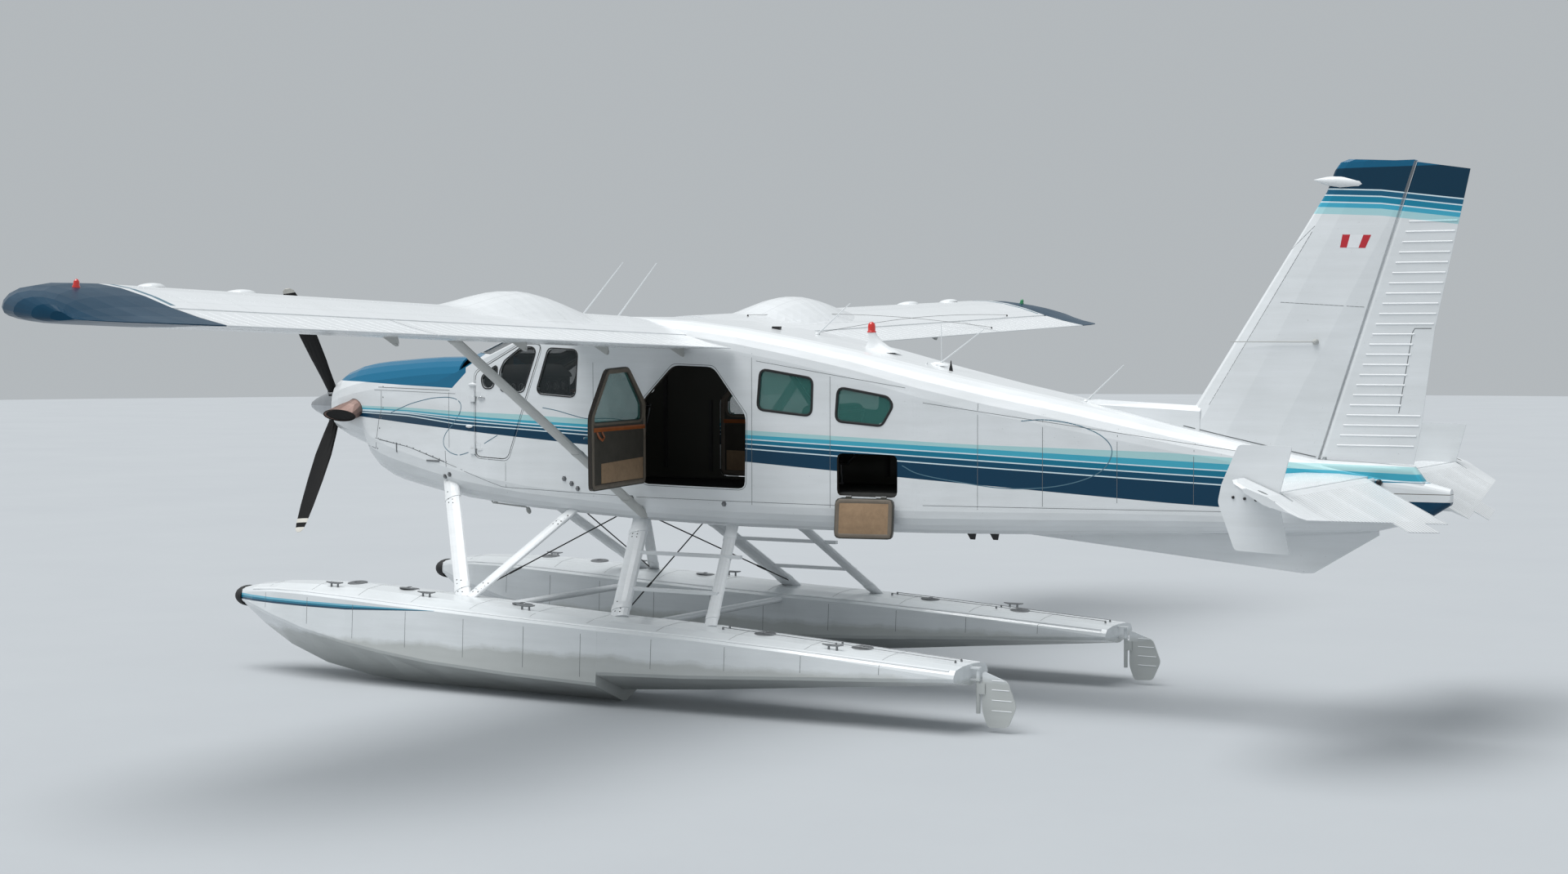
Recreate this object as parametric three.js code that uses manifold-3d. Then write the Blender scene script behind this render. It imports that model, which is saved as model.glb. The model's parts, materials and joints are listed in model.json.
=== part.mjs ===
// Single-engined high-wing floatplane, 10.7 m long and 14.6 m in span.
// Everything is placed in airframe stations, in millimetres: x runs aft from the tip of the
// spinner, y to starboard, z up from the thrust line. The outer group then moves the aeroplane
// so that x = 0 is the middle of its length and z = 0 is the floor under the keels.
import * as THREE from "three";
import { mergeVertices } from "three/addons/utils/BufferGeometryUtils.js";
import Module from "manifold-3d";

const wasm = await Module();
wasm.setup();

const LENGTH = 10740;
const THRUST_ABOVE_KEEL = 2250;
const SEAT_GAP = 0.3;
const MOVING_GAP = 6;
const SIDES = [["port", -1], ["starboard", 1]];

const WALL = 30;
const COWL_WALL = 18;
const FIREWALL_X = 2150;
const FIREWALL_DEPTH = 30;
const BULKHEAD_X = 6570;
const HINGE_STANDOFF = 14;
const DOOR_GAP = 7;
const BAGGAGE_GAP = 9;
const CABIN_DOOR_OPEN = 83;
const BAGGAGE_DOOR_OPEN = 175;

const CHORD = 1588;
const WING_LE_X = 3398;
const WING_TE_Z = 521;
const DIHEDRAL = Math.tan(THREE.MathUtils.degToRad(1.8));
const INCIDENCE = Math.tan(THREE.MathUtils.degToRad(4.5));
const WING_ROOT_Y = 560;
const FLAP_ROOT_Y = 650;
const FLAP_SPLIT_Y = 4410;
const TIP_SEAM_Y = 6450;
const HALF_SPAN = 7315;
const FLAP_HINGE_X = 4570;

const PROP_RADIUS = 1272;
const PROP_X = 340;
const PROP_CLOCK = 27;
const SPINNER_LENGTH = 405;
const SPINNER_RADIUS = 168;
const SHAFT_END_X = 425;
const HUB_FRONT_X = 250;

const ELEVATOR_HINGE_X = 10082;
const ELEVATOR_HINGE_Z = -410;
const ELEVATOR_NOSE = 30;
const ELEVATOR_DROOP = 25;
const FINLET_Y = 2120;
const FINLET_THICKNESS = 12;
const TAIL_HALF_SPAN = 2415;

const RUDDER_FOOT = [9695, -265];
const RUDDER_TOP = [10369, 1824];
const RUDDER_NOSE = 34;

const FLOAT_Y = 1400;
const STEP_X = 4450;
const TRANSOM_X = 7500;
const WATER_RUDDER_X = 7562;

const FINISH = {
  white: { color: 0xe9e8e4, roughness: 0.35, metalness: 0.1 },
  blue: { color: 0x1f6f95, roughness: 0.35, metalness: 0.1 },
  grey: { color: 0x8b8a84, roughness: 0.5, metalness: 0.2 },
  polished: { color: 0xc9c9c7, roughness: 0.2, metalness: 0.9 },
  steel: { color: 0x6d6a66, roughness: 0.5, metalness: 0.8 },
  bronze: { color: 0x8a6a55, roughness: 0.45, metalness: 0.7 },
  black: { color: 0x141415, roughness: 0.5, metalness: 0.1 },
  rubber: { color: 0x1b1c1e, roughness: 0.85, metalness: 0 },
  glass: { color: 0x9fc7c0, roughness: 0.1, metalness: 0 },
  trim: { color: 0x57504a, roughness: 0.7, metalness: 0 },
  leather: { color: 0x4a3a30, roughness: 0.7, metalness: 0 },
};

const radians = THREE.MathUtils.degToRad;
const airframe = new THREE.Group();

// A piece is drawn where it lies when shut or neutral, then turned about its hinge.
function addPiece(name, geometry, finish, hinge = [0, 0, 0], axis = [0, 0, 1], degrees = 0) {
  const mesh = new THREE.Mesh(geometry.clone(), new THREE.MeshStandardMaterial(FINISH[finish]));
  mesh.geometry.translate(-hinge[0], -hinge[1], -hinge[2]);
  mesh.name = name;
  mesh.position.set(...hinge);
  mesh.quaternion.setFromAxisAngle(new THREE.Vector3(...axis).normalize(), radians(degrees));
  airframe.add(mesh);
}

// Solids

function toSolid(geometry) {
  const bare = geometry.index ? geometry.toNonIndexed() : geometry.clone();
  for (const name of Object.keys(bare.attributes)) {
    if (name !== "position") bare.deleteAttribute(name);
  }
  const merged = mergeVertices(bare, 0.001);
  const mesh = new wasm.Mesh({
    numProp: 3,
    vertProperties: new Float32Array(merged.attributes.position.array),
    triVerts: new Uint32Array(merged.index.array),
  });
  return new wasm.Manifold(mesh);
}

function toGeometry(solid) {
  const mesh = solid.getMesh();
  const geometry = new THREE.BufferGeometry();
  geometry.setAttribute("position", new THREE.BufferAttribute(mesh.vertProperties, 3));
  geometry.setIndex(new THREE.BufferAttribute(mesh.triVerts, 1));
  return geometry;
}

function join(...geometries) {
  return toGeometry(geometries.map(toSolid).reduce((sum, next) => sum.add(next)));
}

function cut(geometry, ...tools) {
  return toGeometry(tools.map(toSolid).reduce((rest, tool) => rest.subtract(tool), toSolid(geometry)));
}

function common(geometry, other) {
  return toGeometry(toSolid(geometry).intersect(toSolid(other)));
}

function moved(geometry, x, y, z) {
  return geometry.clone().translate(x, y, z);
}

// A piece trimmed by its neighbour, which is also pushed 0.3 mm each way that the seat faces.
function seated(geometry, neighbour, directions) {
  const pushed = directions.map(([x, y, z]) => moved(neighbour, x * SEAT_GAP, y * SEAT_GAP, z * SEAT_GAP));
  return cut(geometry, neighbour, ...pushed);
}

const ALL_WAYS = [[1, 0, 0], [-1, 0, 0], [0, 1, 0], [0, -1, 0], [0, 0, 1], [0, 0, -1]];

// Skin over closed rings of [x, y, z] points, capped flat at both ends. The caps are
// triangulated in the plane across the stacking axis.
function loft(rings, axis) {
  const count = rings[0].length;
  const [across, up] = { x: [1, 2], y: [2, 0], z: [0, 1] }[axis];
  const index = [];
  for (let r = 0; r + 1 < rings.length; r += 1) {
    for (let i = 0; i < count; i += 1) {
      const a = r * count + i;
      const b = r * count + ((i + 1) % count);
      index.push(a, b, a + count, b, b + count, a + count);
    }
  }
  const flat = (ring) => ring.map((p) => new THREE.Vector2(p[across], p[up]));
  const last = rings.length - 1;
  for (const r of [0, last]) {
    const points = flat(rings[r]);
    const sameTurn = THREE.ShapeUtils.area(points) > 0;
    for (const [a, b, c] of THREE.ShapeUtils.triangulateShape(points, [])) {
      const turned = sameTurn === (r === 0) ? [a, c, b] : [a, b, c];
      index.push(...turned.map((corner) => r * count + corner));
    }
  }
  const geometry = new THREE.BufferGeometry();
  geometry.setAttribute("position", new THREE.Float32BufferAttribute(rings.flat(2), 3));
  geometry.setIndex(index);
  return signedVolume(geometry) < 0 ? turnedOutward(geometry) : geometry;
}

function signedVolume(geometry) {
  const corner = [new THREE.Vector3(), new THREE.Vector3(), new THREE.Vector3()];
  const index = geometry.index.array;
  let volume = 0;
  for (let i = 0; i < index.length; i += 3) {
    corner.forEach((v, k) => v.fromBufferAttribute(geometry.attributes.position, index[i + k]));
    volume += corner[0].dot(corner[1].cross(corner[2]));
  }
  return volume;
}

function turnedOutward(geometry) {
  const index = Array.from(geometry.index.array);
  for (let i = 0; i < index.length; i += 3) {
    [index[i + 1], index[i + 2]] = [index[i + 2], index[i + 1]];
  }
  geometry.setIndex(index);
  return geometry;
}

function roundedShape(outline, radius) {
  const corners = outline.map(([a, b]) => new THREE.Vector2(a, b));
  const shape = new THREE.Shape();
  corners.forEach((corner, i) => {
    const back = corners[(i + corners.length - 1) % corners.length].clone().sub(corner);
    const ahead = corners[(i + 1) % corners.length].clone().sub(corner);
    const reach = Math.min(radius, back.length() / 2.2, ahead.length() / 2.2);
    const from = back.setLength(reach).add(corner);
    const to = ahead.setLength(reach).add(corner);
    if (i === 0) shape.moveTo(from.x, from.y);
    else shape.lineTo(from.x, from.y);
    if (radius > 0) shape.quadraticCurveTo(corner.x, corner.y, to.x, to.y);
  });
  return shape;
}

const PLAIN_EXTRUSION = { bevelEnabled: false, curveSegments: 3 };

// Outline in [x, z] drawn out across the aeroplane from y0 to y1.
function sidePrism(outline, y0, y1, radius = 0) {
  const shape = roundedShape(outline, radius);
  const geometry = new THREE.ExtrudeGeometry(shape, { ...PLAIN_EXTRUSION, depth: y1 - y0 });
  return geometry.rotateX(Math.PI / 2).translate(0, y1, 0);
}

// Outline in [x, y] drawn up from z0 to z1.
function planPrism(outline, z0, z1, radius = 0) {
  const shape = roundedShape(outline, radius);
  const geometry = new THREE.ExtrudeGeometry(shape, { ...PLAIN_EXTRUSION, depth: z1 - z0 });
  return geometry.translate(0, 0, z0);
}

function box(x0, x1, y0, y1, z0, z1) {
  const geometry = new THREE.BoxGeometry(x1 - x0, y1 - y0, z1 - z0);
  return geometry.translate((x0 + x1) / 2, (y0 + y1) / 2, (z0 + z1) / 2);
}

// Outline with every edge moved inwards by a distance.
function inset(outline, distance) {
  const points = outline.map(([a, b]) => new THREE.Vector2(a, b));
  const turn = THREE.ShapeUtils.isClockWise(points) ? -1 : 1;
  return points.map((point, i) => {
    const u = point.clone().sub(points[(i + points.length - 1) % points.length]).normalize();
    const v = points[(i + 1) % points.length].clone().sub(point).normalize();
    const normal = new THREE.Vector2(-u.y - v.y, u.x + v.x).normalize();
    const reach = (turn * distance) / Math.sqrt((1 + u.dot(v)) / 2);
    return [point.x + normal.x * reach, point.y + normal.y * reach];
  });
}

// Ellipse of points round a centre in the plane of two directions.
function ellipse(centre, u, v, uRadius, vRadius, sides) {
  return Array.from({ length: sides }, (_, i) => {
    const angle = (2 * Math.PI * i) / sides;
    return centre
      .clone()
      .addScaledVector(u, Math.cos(angle) * uRadius)
      .addScaledVector(v, Math.sin(angle) * vRadius)
      .toArray();
  });
}

// Streamlined bar between two points: an elliptic section with its chord fore and aft.
function streamlinedBar(from, to, chord, thickness, sides = 12) {
  const ends = [new THREE.Vector3(...from), new THREE.Vector3(...to)];
  const along = ends[1].clone().sub(ends[0]).normalize();
  const across = new THREE.Vector3(1, 0, 0).cross(along).normalize();
  const fore = along.clone().cross(across).normalize();
  const axis = Math.abs(along.z) > Math.abs(along.y) ? "z" : "y";
  return loft(ends.map((end) => ellipse(end, fore, across, chord / 2, thickness / 2, sides)), axis);
}

// Body of revolution about the x axis from a profile of [x, radius] points.
function turnedAboutX(profile, segments) {
  const points = profile.map(([x, radius]) => new THREE.Vector2(radius, x));
  return new THREE.LatheGeometry(points, segments).rotateZ(-Math.PI / 2);
}

// Fuselage sections: x, half width, bottom, top, lower corner radius, upper corner radius
const COWL_SECTIONS = [
  [425, 180, -180, 192, 168, 168],
  [455, 244, -230, 250, 206, 217],
  [600, 312, -280, 316, 235, 240],
  [800, 362, -340, 375, 262, 255],
  [930, 386, -386, 396, 280, 255],
  [942, 388, -432, 397, 290, 255],
  [990, 396, -528, 402, 310, 252],
  [1050, 405, -584, 408, 325, 250],
  [1150, 420, -630, 417, 328, 245],
  [1290, 440, -664, 426, 320, 240],
  [1527, 472, -702, 442, 300, 230],
  [1800, 510, -742, 456, 280, 220],
  [2150, 560, -782, 462, 250, 205],
];
const CABIN_SECTIONS = [
  [1800, 510, -742, 715, 280, 150],
  [2150, 560, -782, 722, 250, 150],
  [2500, 606, -806, 730, 225, 150],
  [2900, 622, -836, 745, 205, 150],
  [3400, 625, -862, 775, 195, 155],
  [3900, 625, -888, 800, 190, 165],
  [4500, 625, -905, 765, 190, 175],
  [5000, 620, -914, 705, 190, 185],
  [5500, 600, -916, 622, 190, 195],
  [6000, 566, -916, 525, 190, 205],
  [6600, 515, -910, 385, 185, 220],
];
const BOOM_SECTIONS = [
  [6600.3, 515, -910, 385, 185, 220],
  [7200, 455, -897, 255, 180, 220],
  [7600, 410, -886, 177, 175, 210],
  [8200, 335, -864, 45, 165, 190],
  [8600, 283, -850, -48, 155, 170],
  [9200, 205, -826, -176, 130, 140],
  [9700, 140, -804, -276, 110, 115],
  [10100, 98, -780, -350, 85, 88],
  [10450, 66, -690, -412, 60, 60],
  [10630, 44, -574, -458, 40, 40],
];

function fuselageRing([x, halfWidth, bottom, top, low, high]) {
  const steps = 5;
  const corners = [
    [halfWidth - low, bottom + low, low, -90],
    [halfWidth - high, top - high, high, 0],
    [high - halfWidth, top - high, high, 90],
    [low - halfWidth, bottom + low, low, 180],
  ];
  return corners.flatMap(([y, z, radius, start]) =>
    Array.from({ length: steps + 1 }, (_, i) => {
      const angle = radians(start + (90 * i) / steps);
      return [x, y + radius * Math.cos(angle), z + radius * Math.sin(angle)];
    }),
  );
}

function skin(sections) {
  return loft(sections.map(fuselageRing), "x");
}

function shrunk(sections, wall) {
  return sections.map(([x, halfWidth, bottom, top, low, high]) => [
    x, halfWidth - wall, bottom + wall, top - wall, Math.max(low - wall, 8), Math.max(high - wall, 8),
  ]);
}

// The windscreen is a shallow vee: each half lies in the plane of a base point and a top point
// on the centre line and a shoulder at the side of the roof.
const SCREEN_BASE = new THREE.Vector3(1890, 0, 455);
const SCREEN_TOP = new THREE.Vector3(2500, 0, 705);
const SCREEN_SHOULDER = [2840, 560, 615];
const SCREEN_WALL = 62;

// Everything ahead of the vee when the vee is moved aft by a distance.
function aheadOfScreen(shift) {
  const far = 2600;
  const halves = SIDES.map(([, side]) => {
    const up = SCREEN_TOP.clone().sub(SCREEN_BASE).normalize();
    const shoulder = new THREE.Vector3(SCREEN_SHOULDER[0], side * SCREEN_SHOULDER[1], SCREEN_SHOULDER[2]);
    const out = shoulder.sub(SCREEN_BASE);
    out.addScaledVector(up, -out.dot(up)).normalize();
    const corner = (s, t) => SCREEN_BASE.clone().addScaledVector(up, s).addScaledVector(out, t);
    const face = [corner(-far, 0), corner(far, 0), corner(far, far), corner(-far, far)];
    const near = face.map((p) => [p.x + shift, p.y, p.z]);
    return loft([near, near.map(([x, y, z]) => [x - far, y, z + far])], "z");
  });
  return join(...halves);
}

// Outlines in [x, z] of the doors and windows in the cabin side
const PILOT_DOOR = [[2362, -400], [2724, -415], [2920, 104], [3100, 575], [2880, 575], [2362, 324]];
const PILOT_WINDOW = [[2650, 172], [2894, 168], [3040, 542], [2885, 542], [2700, 425], [2650, 340]];
const QUARTER_WINDOW = [[2437, 286], [2460, 196], [2560, 196], [2612, 330], [2612, 388]];
const SIDE_WINDOW = [[3035, 159], [3431, 132], [3459, 520], [3167, 534]];
const CABIN_DOOR = [[4110, -578], [5095, -592], [5105, 5], [4801, 390], [4415, 402], [4110, 104]];
const CABIN_DOOR_WINDOW = [[4190, -42], [5035, -42], [5035, 0], [4775, 350], [4445, 358], [4190, 88]];
const MIDDLE_WINDOW = [[5218, 57], [5690, 12], [5700, 298], [5245, 368]];
const REAR_WINDOW = [[5915, -26], [6300, -58], [6395, 98], [6350, 157], [5935, 229]];
const BAGGAGE_DOOR = [[5920, -624], [6436, -627], [6436, -292], [5920, -285]];
const WINDOW_RADIUS = 50;
const DOOR_RADIUS = 60;
const BAGGAGE_RADIUS = 50;
const BELOW_BELLY = -2000;
const ABOVE_ROOF = 1000;
const BEYOND_SIDE = 760;

function throughSide(outline, side, radius) {
  return side < 0
    ? sidePrism(outline, -BEYOND_SIDE, -300, radius)
    : sidePrism(outline, 300, BEYOND_SIDE, radius);
}

const cowlOuter = skin(COWL_SECTIONS);
const cabinOuter = cut(
  skin(CABIN_SECTIONS),
  aheadOfScreen(0),
  cowlOuter,
  moved(cowlOuter, SEAT_GAP, 0, 0),
  moved(cowlOuter, 0, 0, SEAT_GAP),
);
const cabinInner = cut(
  skin([...shrunk(CABIN_SECTIONS.slice(0, -1), WALL), [BULKHEAD_X, 488, -881, 362, 155, 190]]),
  aheadOfScreen(SCREEN_WALL),
  box(1000, FIREWALL_X + FIREWALL_DEPTH, -900, 900, -1000, 500),
);
const cabinHollow = cut(cabinOuter, cabinInner);

// Windscreen opening: outline in [x, y]
const SCREEN_OPENING = [[1970, 0], [2478, 520], [2760, 520], [2460, 0], [2760, -520], [2478, -520]];

function throughScreen(margin) {
  return planPrism(inset(SCREEN_OPENING, margin), 200, 900, 30);
}

// Seams where the cabin's panels meet: roof over sides along a line in [x, z], sides over belly
const ROOF_SEAM = [[1700, 588], [4400, 600], [6700, 187]];
const BELLY_SEAM_Z = -700;

function buildCabin() {
  const across = [-BEYOND_SIDE, BEYOND_SIDE];
  const high = ROOF_SEAM.slice().reverse().map(([x]) => [x, 1000]);
  const overSeam = sidePrism([...ROOF_SEAM, ...high], ...across);
  const underSeam = sidePrism([...ROOF_SEAM, ...high], ...across).translate(0, 0, -SEAT_GAP);
  const front = FIREWALL_X + FIREWALL_DEPTH;
  const ahead = box(1000, front, ...across, -1000, 1000);
  const behind = box(BULKHEAD_X, 7000, ...across, -1000, 1000);
  const between = box(front + SEAT_GAP, BULKHEAD_X - SEAT_GAP, ...across, -1000, 1000);
  const openings = SIDES.flatMap(([, side]) => [
    throughSide(PILOT_DOOR, side, DOOR_RADIUS),
    throughSide(SIDE_WINDOW, side, WINDOW_RADIUS),
    throughSide(CABIN_DOOR, side, DOOR_RADIUS),
    throughSide(MIDDLE_WINDOW, side, WINDOW_RADIUS),
    throughSide(REAR_WINDOW, side, WINDOW_RADIUS),
  ]);
  openings.push(throughSide(BAGGAGE_DOOR, -1, BAGGAGE_RADIUS), throughScreen(0));
  const walls = cut(cabinHollow, ...openings);
  const middle = common(walls, between);
  addPiece("firewall", common(walls, ahead), "white");
  addPiece("rear_bulkhead", common(walls, behind), "white");
  addPiece("cabin_roof", common(middle, overSeam), "white");
  const underside = box(0, LENGTH, ...across, BELOW_BELLY, BELLY_SEAM_Z - SEAT_GAP);
  addPiece("cabin_belly", common(middle, underside), "white");
  for (const [name, side] of SIDES) {
    const half = side < 0 ? [-BEYOND_SIDE, 0] : [0, BEYOND_SIDE];
    const panel = cut(common(middle, box(0, LENGTH, ...half, BELLY_SEAM_Z, ABOVE_ROOF)), underSeam);
    const leaves = shellLeaves(side);
    if (side < 0) {
      const besideHinges = BAGGAGE_HINGES.map((along) => along - LEAF_LENGTH - SEAT_GAP);
      leaves.push(...besideHinges.map((along) => hatchLeaf(along, true)));
    }
    addPiece(`cabin_side_${name}`, join(panel, ...leaves), "white");
  }
}

const GLASS_DEPTH = 10;
const GLASS_THICKNESS = 6;
const SCREEN_GLASS = 22;

function buildGlass() {
  const glassInner = skin(shrunk(CABIN_SECTIONS, GLASS_DEPTH + GLASS_THICKNESS));
  const layer = cut(skin(shrunk(CABIN_SECTIONS, GLASS_DEPTH)), glassInner);
  const screenLayer = cut(aheadOfScreen(2 * SCREEN_GLASS), aheadOfScreen(SCREEN_GLASS));
  addPiece("windscreen", common(screenLayer, throughScreen(SEAT_GAP)), "glass");
  for (const [name, side] of SIDES) {
    const pane = (outline) => common(layer, throughSide(inset(outline, SEAT_GAP), side, WINDOW_RADIUS));
    addPiece(`side_window_${name}`, pane(SIDE_WINDOW), "glass");
    addPiece(`middle_window_${name}`, pane(MIDDLE_WINDOW), "glass");
    const doorHinge = pilotHinge(side);
    addPiece(`pilot_door_window_${name}`, pane(PILOT_WINDOW), "glass", doorHinge);
    const open = side < 0 ? -CABIN_DOOR_OPEN : 0;
    const doorGlass = pane(CABIN_DOOR_WINDOW);
    addPiece(`cabin_door_window_${name}`, doorGlass, "glass", cabinHinge(side), [0, 0, 1], open);
  }
}

// Hinges stand clear of the skin. Each has a leaf on the shell and one on the door, end to end.
const KNUCKLE_RADIUS = 8;
const STRAP_LENGTH = 60;
const PILOT_HINGES = [-330, 120];
const CABIN_HINGES = [-440, -40];
const LEAF_LENGTH = 45;
const pilotHinge = (side) => [2362, side * (588 + HINGE_STANDOFF), 0];
const cabinHinge = (side) => [4110, side * (625 + HINGE_STANDOFF), 0];

function uprightLeaf([x, y], z0, forward) {
  const z1 = z0 + LEAF_LENGTH;
  const knuckle = new THREE.CylinderGeometry(KNUCKLE_RADIUS, KNUCKLE_RADIUS, LEAF_LENGTH, 14);
  knuckle.rotateX(Math.PI / 2).translate(x, y, (z0 + z1) / 2);
  const [x0, x1] = forward ? [x - STRAP_LENGTH, x - 4] : [x + 4, x + STRAP_LENGTH];
  const [y0, y1] = [HINGE_STANDOFF + 5, 5].map((d) => y - Math.sign(y) * d).sort((a, b) => a - b);
  return join(knuckle, box(x0, x1, y0, y1, z0, z1));
}

function shellLeaves(side) {
  const leaf = (hinge) => (z) => uprightLeaf(hinge, z - LEAF_LENGTH - SEAT_GAP, true);
  return [...PILOT_HINGES.map(leaf(pilotHinge(side))), ...CABIN_HINGES.map(leaf(cabinHinge(side)))];
}

// The baggage hatch hinges along its lower edge, which follows the taper of the fuselage side.
const BAGGAGE_AXIS = [516, 43.8, 0];
const baggageHinge = [6178, -(551 + HINGE_STANDOFF), -627];
const BAGGAGE_HINGES = [-170, 130];

function hatchLeaf(along, below) {
  const knuckle = new THREE.CylinderGeometry(KNUCKLE_RADIUS, KNUCKLE_RADIUS, LEAF_LENGTH, 14);
  knuckle.rotateZ(Math.PI / 2).translate(along + LEAF_LENGTH / 2, 0, 0);
  const [z0, z1] = below ? [-STRAP_LENGTH, -4] : [4, STRAP_LENGTH];
  const strap = box(along, along + LEAF_LENGTH, 5, HINGE_STANDOFF + 5, z0, z1);
  const slant = Math.atan2(BAGGAGE_AXIS[1], BAGGAGE_AXIS[0]);
  return join(knuckle, strap).rotateZ(slant).translate(...baggageHinge);
}

function buildDoors() {
  for (const [name, side] of SIDES) {
    const panel = (outline, radius) =>
      common(cabinHollow, throughSide(inset(outline, DOOR_GAP), side, radius - DOOR_GAP));
    const pilot = cut(
      panel(PILOT_DOOR, DOOR_RADIUS),
      throughSide(PILOT_WINDOW, side, WINDOW_RADIUS),
      throughSide(QUARTER_WINDOW, side, WINDOW_RADIUS),
    );
    const pilotLeaves = PILOT_HINGES.map((z) => uprightLeaf(pilotHinge(side), z, false));
    addPiece(`pilot_door_${name}`, join(pilot, ...pilotLeaves), "white", pilotHinge(side));
    const cabin = cut(panel(CABIN_DOOR, DOOR_RADIUS), throughSide(CABIN_DOOR_WINDOW, side, WINDOW_RADIUS));
    const cabinLeaves = CABIN_HINGES.map((z) => uprightLeaf(cabinHinge(side), z, false));
    const open = side < 0 ? -CABIN_DOOR_OPEN : 0;
    addPiece(`cabin_door_${name}`, join(cabin, ...cabinLeaves), "white", cabinHinge(side), [0, 0, 1], open);
  }
  const hatch = common(cabinHollow, throughSide(inset(BAGGAGE_DOOR, BAGGAGE_GAP), -1, BAGGAGE_RADIUS));
  const leaves = BAGGAGE_HINGES.map((along) => hatchLeaf(along, false));
  addPiece("baggage_door", join(hatch, ...leaves), "white", baggageHinge, BAGGAGE_AXIS, BAGGAGE_DOOR_OPEN);
}

// Instrument panel seen from the side: x, z
const PANEL_OUTLINE = [
  [2430, -150], [2560, -150], [2560, 300], [2470, 372], [2330, 372], [2330, 330], [2430, 300],
];
const PANEL_HALF_WIDTH = 540;

// Seats: name, back x, centre y, half width. Each is a cushion, a back and a pedestal in one.
const SEATS = [
  ["pilot_seat", 3330, -300, 215],
  ["copilot_seat", 3330, 300, 215],
  ["bench_seat", 5500, 0, 500],
];
const FLOOR_Z = -600;
const FLOOR_THICKNESS = 25;
// Notch in [x, y] that keeps the floor clear of the baggage hatch
const HATCH_NOTCH = [[5915, -640], [6441, -640], [6441, -491], [5915, -533]];

function buildInterior() {
  const floorInside = skin(shrunk(CABIN_SECTIONS.slice(1), WALL + SEAT_GAP));
  const floorEnds = [FIREWALL_X + FIREWALL_DEPTH + SEAT_GAP, BULKHEAD_X - WALL];
  const floor = common(floorInside, box(...floorEnds, -900, 900, FLOOR_Z - FLOOR_THICKNESS, FLOOR_Z));
  addPiece("cabin_floor", cut(floor, planPrism(HATCH_NOTCH, FLOOR_Z - 40, FLOOR_Z + 10)), "trim");
  const panelFoot = box(2440, 2540, -110, 110, FLOOR_Z + SEAT_GAP, PANEL_OUTLINE[0][1] + 1);
  const panelFace = sidePrism(PANEL_OUTLINE, -PANEL_HALF_WIDTH, PANEL_HALF_WIDTH);
  addPiece("instrument_panel", join(panelFace, panelFoot), "black");
  for (const [name, backX, y, halfWidth] of SEATS) {
    const outline = [
      [backX - 500, FLOOR_Z + 300], [backX - 60, FLOOR_Z + 270], [backX + 60, 60], [backX + 140, 60],
      [backX + 70, FLOOR_Z + 200], [backX - 60, FLOOR_Z + 180], [backX - 500, FLOOR_Z + 200],
    ];
    const cushion = sidePrism(outline, y - halfWidth, y + halfWidth, 25);
    const footHalf = halfWidth * 0.7;
    const footHeights = [FLOOR_Z + SEAT_GAP, FLOOR_Z + 205];
    const foot = box(backX - 420, backX - 60, y - footHalf, y + footHalf, ...footHeights);
    addPiece(name, join(cushion, foot), "leather");
  }
}

// Engine, cowling and propeller

// Exhaust stub rings from root to mouth: x, y, z, half length, half height, lean of the minor axis
const STUB_RINGS = [
  [850, 150, 5, 78, 80, 0],
  [842, 330, 0, 95, 84, 10],
  [800, 405, -30, 135, 78, 28],
  [742, 470, -72, 182, 72, 42],
];

function stub(side, grow) {
  const rings = STUB_RINGS.map(([x, y, z, long, high, lean]) => {
    const minor = new THREE.Vector3(0, side * Math.sin(radians(lean)), Math.cos(radians(lean)));
    const centre = new THREE.Vector3(x, side * y, z);
    return ellipse(centre, new THREE.Vector3(1, 0, 0), minor, long + grow, high + grow, 14);
  });
  return loft(rings, "y");
}

function buildNose() {
  const inner = skin([[444, 158, -158, 170, 150, 150], ...shrunk(COWL_SECTIONS.slice(1, -1), COWL_WALL),
    [2160, 543, -765, 445, 232, 187]]);
  const noseHole = turnedAboutX([[400, 0], [400, 118], [500, 118], [500, 0]], 24);
  const intake = planPrism([[900, -190], [1120, -210], [1120, 210], [900, 190]], -566, -436, 20);
  const cutouts = SIDES.map(([, side]) => stub(side, 5));
  addPiece("nose_cowl", cut(cowlOuter, inner, noseHole, intake, ...cutouts), "white");

  const engineProfile = [
    [SHAFT_END_X + 0.5, 0], [SHAFT_END_X + 0.5, 70], [470, 110], [560, 200], [1500, 235], [1700, 235],
    [1800, 170], [FIREWALL_X - SEAT_GAP, 120], [FIREWALL_X - SEAT_GAP, 0],
  ];
  const engine = turnedAboutX(engineProfile, 24);
  addPiece("engine_block", engine, "steel");
  for (const [name, side] of SIDES) {
    const hollow = loft(stubBore(side), "y");
    const pipe = cut(stub(side, 0), hollow);
    addPiece(`exhaust_${name}`, seated(pipe, engine, ALL_WAYS), "bronze");
  }
}

function stubBore(side) {
  return STUB_RINGS.slice(1).map(([x, y, z, long, high, lean], i) => {
    const minor = new THREE.Vector3(0, side * Math.sin(radians(lean)), Math.cos(radians(lean)));
    const centre = new THREE.Vector3(x, side * (y + (i === 2 ? 6 : 0)), z - (i === 2 ? 6 : 0));
    return ellipse(centre, new THREE.Vector3(1, 0, 0), minor, long - 8, high - 8, 14);
  });
}

// Blade sections: radius, chord, thickness, pitch in degrees
const BLADE_SECTIONS = [
  [50, 92, 92, 90],
  [165, 94, 84, 94],
  [300, 142, 52, 96],
  [500, 186, 34, 92],
  [750, 196, 24, 86],
  [1000, 180, 17, 82],
  [1180, 148, 12, 79],
  [1250, 112, 9, 78],
  [PROP_RADIUS, 56, 7, 78],
];

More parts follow.
